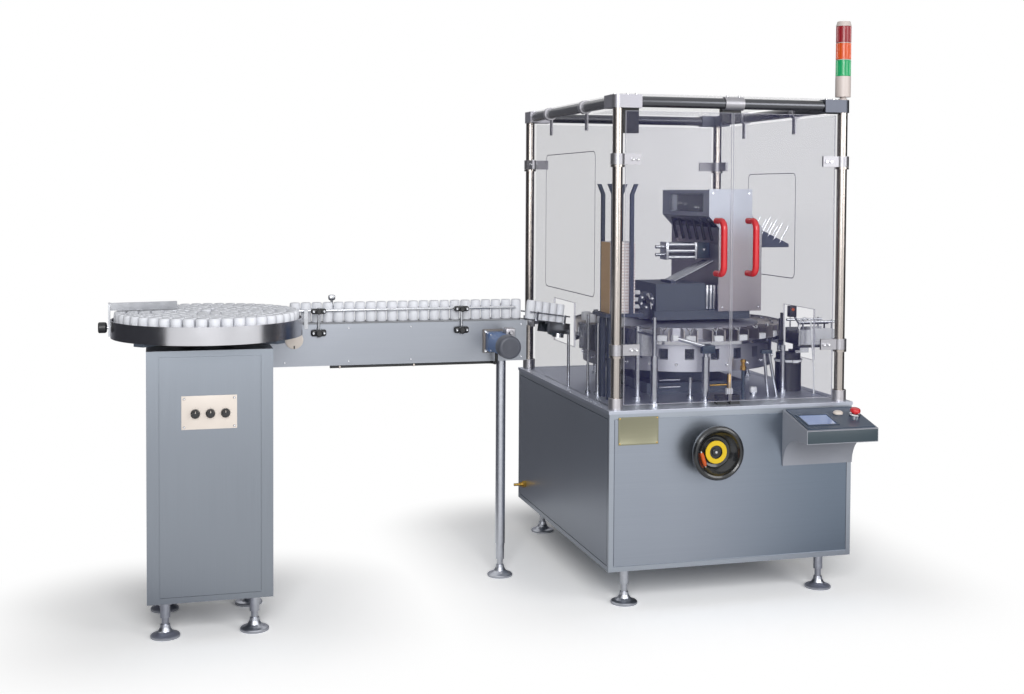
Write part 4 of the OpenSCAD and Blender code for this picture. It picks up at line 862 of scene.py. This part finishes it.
def makeLens(name, node, i, finish):
    x, y = tower["place"]
    low = tower["low"] + i * tower["step"]
    lens = turned("lens", [(26, 0), (27.6, 1), (27.6, 61), (26, 62)], (x, y, low), sides=96)
    r = tower["ribR"]
    rib = rod("rib", (x + r, y, low + 1.5), (x + r, y, low + 60.5), tower["ribD"], 6)
    turns = [Matrix.Rotation(k * 2 * math.pi / tower["ribs"], 4, "Z") for k in range(1, tower["ribs"])]
    ribs = [copyOf(rib, "rib", about((x, y, 0), turn)) for turn in turns]
    seam = hoop("seam", [(24, 62), (28.4, 62), (28.4, 64), (24, 64)], (x, y, low), sides=48)
    piece = mixed(name, {finish: [lens, rib] + ribs, "towerGrey": [seam]})
    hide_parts(node)


makeLens("greenLens", "green_lamp", 0, "lampGreen")
makeLens("amberLens", "amber_lamp", 1, "lampAmber")
makeLens("redLens", "red_lamp", 2, "lampRed")
print("signal tower dressed")

# carousel: pad, claw and pane at every pocket, a polished plate edge, screws round the drum, four jars at the in-feed
carousel = {"x": 490, "y": 560, "pockets": 24, "plate": 958, "rim": 424.3, "edge": 417, "drum": 385, "claw": 392,
            "jarR": 374, "jarAt": (165, 180, 195, 210), "jarLift": 0.3}


def around(source, name, angles):
    hub = (carousel["x"], carousel["y"], 0)
    made = [copyOf(source, name, about(hub, Matrix.Rotation(math.radians(angle), 4, "Z"))) for angle in angles]
    bpy.data.objects.remove(source)
    return made


def makeCarousel():
    x, y, z = carousel["x"], carousel["y"], carousel["plate"]
    count, r0, r1 = carousel["pockets"], carousel["edge"], carousel["rim"]
    steps = [k * 360 / count for k in range(count)]
    pads = around(block("pad", (x + 403, y - 19, z), (x + 423.5, y + 19, z + 22), 2, 1), "pad", steps)
    cx = x + carousel["claw"]
    prongs = [rod("prong", (cx, y, z + 34), (cx - 8, y + dy, z + 49), 6, 6) for dy in (-13, 13)]
    claws = around(joined("claw", [rod("post", (cx, y, z - 1), (cx, y, z + 38), 8, 6)] + prongs), "claw", steps)
    edge = hoop("edge", [(r0, z - 12.3), (r1, z - 12.3), (r1, z + 0.3), (r0, z + 0.3)], (x, y, 0), sides=120)
    panes = around(block("pane", (x + 359.4, y - 17, z - 73), (x + 362, y + 17, z - 33), 0.5, 1), "pane", steps)
    heads = []
    for angle in steps:
        a, r = math.radians(angle + 180 / count), carousel["drum"]
        c, s = math.cos(a), math.sin(a)
        heads += screws([(x + r * c, y + r * s, z - 92)], (c, s, 0), 1.2)
    profile = [(r, h + z + carousel["jarLift"]) for r, h in jar["profile"]]
    jars = around(turned("jar", profile, (x + carousel["jarR"], y, 0), sides=20), "jar", carousel["jarAt"])
    mixed("carouselDressing", {"padWhite": pads, "polishedRod": claws, "chromeTurned": [edge] + heads,
                               "bottleWhite": jars, "darkGlassAndShade": panes}, "carousel", 40)


makeCarousel()
print("carousel dressed")

# deck fittings round the carousel: nuts, brass sleeve, clamp with its arm, stays, cross bars
fittings = {"deck": 732, "brass": (556, 187), "nut": (680, 232), "clamp": (428.5, 122), "tee": (598, 152),
            "stays": ((709, 727), (729, 764)), "stayY": 200, "bars": ((328, 417, 786), (328, 417, 758)),
            "goldBar": (545, 620, 759), "barY": 345}


def makeFittings():
    deck = fittings["deck"]
    x, y = fittings["brass"]
    brass = [turned("sleeve", [(8.4, 0), (9.4, 1), (9.4, 55), (8, 57)], (x, y, 770), sides=20)]
    white = [turned("nut", [(14, 0), (15, 2), (15, 22), (12, 26)], (x, y, 745), sides=6),
             turned("nut", [(14, 0), (15, 2), (15, 20), (12, 24)], (*fittings["nut"], 742), sides=6)]
    x, y = fittings["clamp"]
    dark = [block("clamp", (x - 20, y - 18, 917), (x + 32, y + 8, 948), 3)]
    bright = [rod("arm", (x - 10, y - 5, 945), (x - 128, y - 5, 979), 15, 20),
              turned("sleeve", [(14, 0), (15, 1), (15, 150), (14, 151)], (x, y, 754), sides=24)]
    white.append(block("arm end", (x - 140, y - 16, 968), (x - 118, y + 6, 990), 3))
    x, y = fittings["tee"]
    dark.append(rod("stem", (x, y, deck), (x, y, 844), 13))
    tee = [(8, 0), (12, 3), (12, 17), (8, 20), (8, 30), (11, 33), (11, 40), (7, 44)]
    brass.append(turned("tee", tee, (x, y, 842), sides=16))
    y = fittings["stayY"]
    bright += [rod("stay", (low, y, deck), (top, y, 905), 12) for top, low in fittings["stays"]]
    dark.append(block("head", (697, y - 9, 899), (741, y + 9, 913), 2))
    y = fittings["barY"]
    bright += [rod("bar", (x0, y, z), (x1, y, z), 11) for x0, x1, z in fittings["bars"]]
    x0, x1, z = fittings["goldBar"]
    brass.append(rod("bar", (x0, y, z), (x1, y, z), 9))
    mixed("deckFittings", {"brassTurned": brass, "padWhite": white, "slateBox": dark, "polishedRod": bright})


makeFittings()

# cast collars at the feet of the four guard posts
collars = {"ring": [(25.4, 0), (26.2, 0), (26.8, 0.8), (26.8, 41.6), (26, 42.5), (25.4, 42.5)], "sides": 40}
rings = [hoop("collar", collars["ring"], (x, y, fittings["deck"]), sides=collars["sides"])
         for x in posts["x"] for y in posts["y"]]
done(joined("postCollars", rings), "collarCast")

# out-feed: end plate, pale side plate, dark bars, drive band, sensor on its arm, two fittings by the carousel
outfeed = {"x0": 896, "y": 272, "guidePosts": (34, 130), "drive": (880, 330), "sensor": (830, 206, 1040),
           "fittings": ((-43, 26), (-40, 46)), "fittingR": 436, "fittingZ": 1004}


def makeOutfeed():
    x, y = outfeed["x0"], outfeed["y"]
    bright = [block("end", (x - 3, y - 4, 915), (x + 5, y + 5, 1006), 1)]
    white = [block("side", (x + 56, y - 3, 934), (x + 146, y, 984), 1)]
    dark = [block("low", (x + 4, y - 5, 908), (x + 146, y, 919), 1),
            block("guide", (x + 20, y + 28, 998), (x + 148, y + 36, 1011), 2)]
    dark += [rod("guide post", (x + dx, y + 32, 966), (x + dx, y + 32, 1000), 7, 10) for dx in outfeed["guidePosts"]]
    dx, dy = outfeed["drive"]
    white += [hoop("band", [(51, 0), (56.5, 0), (56.5, 9), (51, 9)], (dx, dy, 849), sides=48),
              block("lug", (dx - 12, dy - 68, 848), (dx + 12, dy - 52, 859), 1.5)]
    sx, sy, sz = outfeed["sensor"]
    dark.append(block("sensor", (sx - 15, sy - 12, sz), (sx + 15, sy + 12, sz + 44), 2))
    bright.append(rod("arm", (x + 1, y, 1002), (sx + 8, sy + 4, sz + 10), 8))
    eye = turned("eye", [(6, 0), (6, 3), (4.5, 4)], (sx - 2, sy - 12, sz + 30), toFront, 16)
    r, z = outfeed["fittingR"], outfeed["fittingZ"]
    for turn, high in outfeed["fittings"]:
        a = math.radians(turn)
        px, py = carousel["x"] + r * math.cos(a), carousel["y"] + r * math.sin(a)
        dark.append(rod("fitting", (px, py, z - 62), (px, py, z + high), 13, 12))
    mixed("outfeedDressing", {"chromeTurned": bright, "padWhite": white, "driveBlack": dark, "gripOrange": [eye]})


makeOutfeed()

# in-feed: gear box under the chute
infeed = {"low": (-38, 606, 944), "high": (2, 660, 988), "edge": 4, "steps": 3}
done(block("infeedBox", infeed["low"], infeed["high"], infeed["edge"], infeed["steps"]), "slateBox")

# folder: tinted window, a dark sheet of painted shade on the sloped underside, hoses, cover screws, bright ribs,
# guided cylinder, thin rods
folder = {"left": 568, "inner": 612, "front": 412.5, "step": 1432, "knee": 1386, "ribs": (566, 582, 598),
          "dots": ((0, 0), (34, 2), (150, 14), (210, 16)),
          "heads": ((580, 1524), (738, 1524), (784, 1064), (624, 1064)), "hoses": 6, "hosePitch": 74,
          "cylinder": (388, 546, 1288), "tray": (795, 430, 1304), "rows": (0, 92), "rods": 4}


def dressCover():
    x = folder["left"]
    window = block("window", (x + 9, 484, 1448), (x + 13, 836, 1522), 1)
    dots = screws([(x + 9, 540 + dy, 1464 + dz) for dy, dz in folder["dots"]], (-1, 0, 0), 1.3)
    # the sloped underside is covered by a dark sheet: painted shade under the cover
    slope = block("slope", (0, 440, -3), (63, 900, 0.5), 0.8)
    tilt = Matrix.Rotation(math.atan2(folder["step"] - folder["knee"], folder["inner"] - x), 4, "Y")
    slope.data.transform(Matrix.Translation(at(x, 0, folder["step"])) @ tilt @ Matrix.Translation(-at(0, 0, 0)))
    rows = [470 + folder["hosePitch"] * k for k in range(folder["hoses"])]
    hoses = [rod("hose", (x + 14, y, 1422), (x + 36, y, 1330), 13, 12) for y in rows]
    heads = screws([(px, folder["front"], pz) for px, pz in folder["heads"]], size=0.9)
    ribs = [block("rib", (px, 436, 1056), (px + 10, 441, 1152), 1) for px in folder["ribs"]]
    mixed("folderDressing", {"darkGlassAndShade": [window, slope], "chromeTurned": dots + heads, "blackPlastic": hoses,
                             "polishedRod": ribs})


def makeCylinder():
    x, y, z = folder["cylinder"]
    tips = [rod("tip", (x, y, z + dz), (x + 60, y, z + dz), 14, 20) for dz in (-16, 16)]
    plate = [block("plate", (x + px, y - 36, z - 36), (x + px + 11, y + 36, z + 36), 2) for px in (34, 160)]
    ties = [rod("tie", (x + 40, y + dy, z + dz), (x + 166, y + dy, z + dz), 17, 20)
            for dy in (-25, 25) for dz in (-26, 0, 26)]
    core = block("core", (x + 44, y - 22, z - 30), (x + 162, y + 22, z + 30), 2)
    head = block("head", (x + 170, y - 36, z - 30), (x + 224.5, y + 36, z + 34), 3)
    lamp = screws([(x + 196, y - 36, z + 6)], size=1.1)
    piece = mixed("guidedCylinder", {"polishedRod": tips + plate + ties, "driveBlack": [core], "slateBox": [head],
                                     "chromeTurned": lamp})
    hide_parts("folder_cylinder")


def makeThinRods():
    x, y, z = folder["tray"]
    thin = []
    for row in folder["rows"]:
        for i in range(folder["rods"]):
            sx, sy, sz = x + 12 + i * 26.6, y + row + 2.5, z + 56 - i * 12.4
            thin.append(rod("thin", (sx, sy, sz), (sx + 40, sy, sz + 69.3), 6, 8))
    for i in range(folder["rods"]):
        thin.append(rod("slide", (432, 470 + i * 30, 1165), (610, 470 + i * 30, 1248), 8, 10))
    done(joined("thinRods", thin), "polishedRod")


dressCover()
makeCylinder()
makeThinRods()

# carton picker: screws, white stops and a bright arm
picker = {"place": (312, 446, 1092), "screwR": 25, "screwAt": (0.4, 1.45, 2.5, 3.54, 4.6, 5.64),
          "stops": (-30, -2, 26)}


def makePicker():
    x, y, z = picker["place"]
    r = picker["screwR"]
    heads = screws([(x + r * math.cos(k), y, z + r * math.sin(k)) for k in picker["screwAt"]], size=1.1)
    stops = [block("stop", (x - 48, y + 2, z + dz), (x - 26, y + 26, z + dz + 16), 2) for dz in picker["stops"]]
    knob = turned("knob", [(9, 0), (12, 2), (12, 14), (9, 17)], (x, y, z), toFront, 20)
    arm = rod("arm", (x + 6, y - 4, z + 30), (x + 20, y - 4, z - 34), 9)
    mixed("pickerDressing", {"chromeTurned": heads + [arm], "padWhite": stops, "blackPlastic": [knob]})


makePicker()

# table arm: black clamp knob over its pin
armCap = {"place": (-1778.5, 270, 1048), "profile": [(15, 0), (19, 3), (19, 24), (15, 29), (9, 30)], "sides": 24}
done(turned("armCap", armCap["profile"], armCap["place"], (1, 0, 0), armCap["sides"]), "blackPlastic")
bpy.data.objects.remove(screwShape)
print("inside dressed")

# floor, world and lamps
studio = {"floor": 60.0, "floorColour": "#f7f7f7", "ambient": 0.22, "glare": 1.5, "fade": (0.1, 0.7),
          "prints": ("base_cabinet", "column_body"),
          "lamps": [("keyLamp", (-1400, -5000, 2900), (200, 300, 900), 3.0, 225),
                    ("fillLamp", (3400, -4200, 2600), (300, 300, 900), 2.6, 85),
                    ("topLamp", (-300, 600, 5200), (-300, 500, 0), 4.0, 12)]}
card = {"r": 5.2, "high": 3.4, "off": 0.02, "from": -35, "to": 215, "dark": "#54555b", "pale": "#c9cad2",
        "turns": (0.45, 0.85), "lap": 0.2, "sides": 72}


def editOnly(piece, kind, chosen):
    # edit mode with only the chosen faces or edges
    mode("EDIT")
    bpy.ops.mesh.select_mode(type=kind)
    pick("DESELECT")
    mode("OBJECT")
    for part in piece.data.polygons if kind == "FACE" else piece.data.edges:
        part.select = chosen(part)
    mode("EDIT")


# grey cloth behind the machine, out of the picture: only polished metal mirrors it
def makeCloth():
    leave()
    bpy.ops.mesh.primitive_cylinder_add(vertices=card["sides"], radius=card["r"], depth=card["high"],
                                        end_fill_type="NOTHING", location=(0, 0, card["high"] / 2 + card["off"]))
    cloth = bpy.context.object

    def inFront(face):
        turn = math.degrees(math.atan2(face.center.y, face.center.x))
        return not card["from"] < (turn + 360 if turn < -90 else turn) < card["to"]

    editOnly(cloth, "FACE", inFront)
    bpy.ops.mesh.delete(type="FACE")
    # the hem lies on the floor towards the machine
    editOnly(cloth, "EDGE", lambda edge: all(cloth.data.vertices[v].co.z < 0 for v in edge.vertices))
    bpy.ops.mesh.extrude_region_move()
    bpy.ops.transform.resize(value=(card["lap"], card["lap"], 1), center_override=(0, 0, card["off"]))
    mode("OBJECT")
    material, add, place = startMaterial("clothGreyWoven")
    # pale behind the machine, dark at both sides
    split = add("SeparateXYZ", {}, {0: place})
    aside = add("Math", {}, {0: split}, operation="ABSOLUTE")
    start, end = (card["r"] * share for share in card["turns"])
    turn = add("MapRange", {"From Min": start, "From Max": end}, {"Value": aside},
               interpolation_type="SMOOTHSTEP")
    shade = add("Mix", {6: linear(card["pale"]), 7: linear(card["dark"])}, {0: turn}, data_type="RGBA")
    cloth.data.materials.append(endMaterial(material, "BsdfDiffuse", {}, {"Color": shade.outputs[2]}))
    cloth.name = "studioCloth"
    cloth.visible_camera = cloth.visible_diffuse = cloth.visible_shadow = cloth.visible_transmission = False


def seenRays(add):
    # the light path, and 1 for the rays that see the backdrop: from the camera, in mirrors and through sheets
    rays = add("LightPath")
    seen = rays.outputs["Is Camera Ray"]
    for kind in ("Is Glossy Ray", "Is Transmission Ray"):
        seen = add("Math", {}, {0: seen, 1: rays.outputs[kind]}, operation="MAXIMUM").outputs[0]
    return rays, seen


def makeFloor():
    bpy.ops.object.select_all(action="DESELECT")
    bpy.ops.mesh.primitive_plane_add(size=studio["floor"])
    floor = bpy.context.object
    floor.name = "studioFloor"
    material, add, place = startMaterial("paperBackdropWhite")
    rays, seen = seenRays(add)
    # the paper is exposed a little brighter than the machine
    shine = add("MapRange", {"To Min": 1.0, "To Max": studio["glare"]},
                {"Value": rays.outputs["Is Camera Ray"]})
    paper = add("Mix", {0: 1.0, 6: linear(studio["floorColour"])}, {7: shine},
                data_type="RGBA", blend_type="MULTIPLY")
    matt = add("BsdfDiffuse", {}, {"Color": paper.outputs[2]})
    # away from the cabinet and the column the paper runs out into the white of the backdrop
    reaches = []
    for name in studio["prints"]:
        low, high = (Vector(end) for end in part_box(name))
        away = place
        for kind, value in (("SUBTRACT", (low + high) / 2), ("ABSOLUTE", None),
                            ("SUBTRACT", (high - low) / 2 + Vector((0, 0, 1))), ("MAXIMUM", (0, 0, 0))):
            away = add("VectorMath", {1: value} if value else {}, {0: away}, operation=kind)
        reaches.append(add("VectorMath", {}, {0: away}, operation="LENGTH").outputs["Value"])
    reach = add("Math", {}, dict(enumerate(reaches)), operation="MINIMUM")
    start, end = studio["fade"]
    fade = add("MapRange", {"From Min": start, "From Max": end}, {"Value": reach},
               interpolation_type="SMOOTHSTEP")
    share = add("Math", {}, {0: seen, 1: fade}, operation="MULTIPLY")
    white = add("Emission", {"Color": (1, 1, 1, 1), "Strength": 1.0})
    floor.data.materials.append(endMaterial(material, "MixShader", {}, {0: share, 1: matt, 2: white}))


def makeWorld():
    world = bpy.context.scene.world = bpy.data.worlds.new("whiteStudio")
    world.use_nodes = True
    world.node_tree.nodes.clear()
    add = partial(addNode, world.node_tree)
    seen = seenRays(add)[1]
    light, white = (add("Background", {"Color": (1, 1, 1, 1), "Strength": power})
                    for power in (studio["ambient"], 1.0))
    blend = add("MixShader", {}, {0: seen, 1: light, 2: white})
    add("OutputWorld", {}, {0: blend})


def makeLamps():
    for name, place, aim, size, power in studio["lamps"]:
        bpy.ops.object.light_add(type="AREA")
        lamp = bpy.context.object
        lamp.name = name
        lamp.data.size = size
        lamp.data.energy = power
        start = at(*place)
        turn = (at(*aim) - start).to_track_quat("-Z", "Y").to_matrix().to_4x4()
        lamp.matrix_world = Matrix.Translation(start) @ turn


bpy.context.scene.view_settings.view_transform = "Standard"
makeCloth()
makeFloor()
makeWorld()
makeLamps()
print("studio lit")
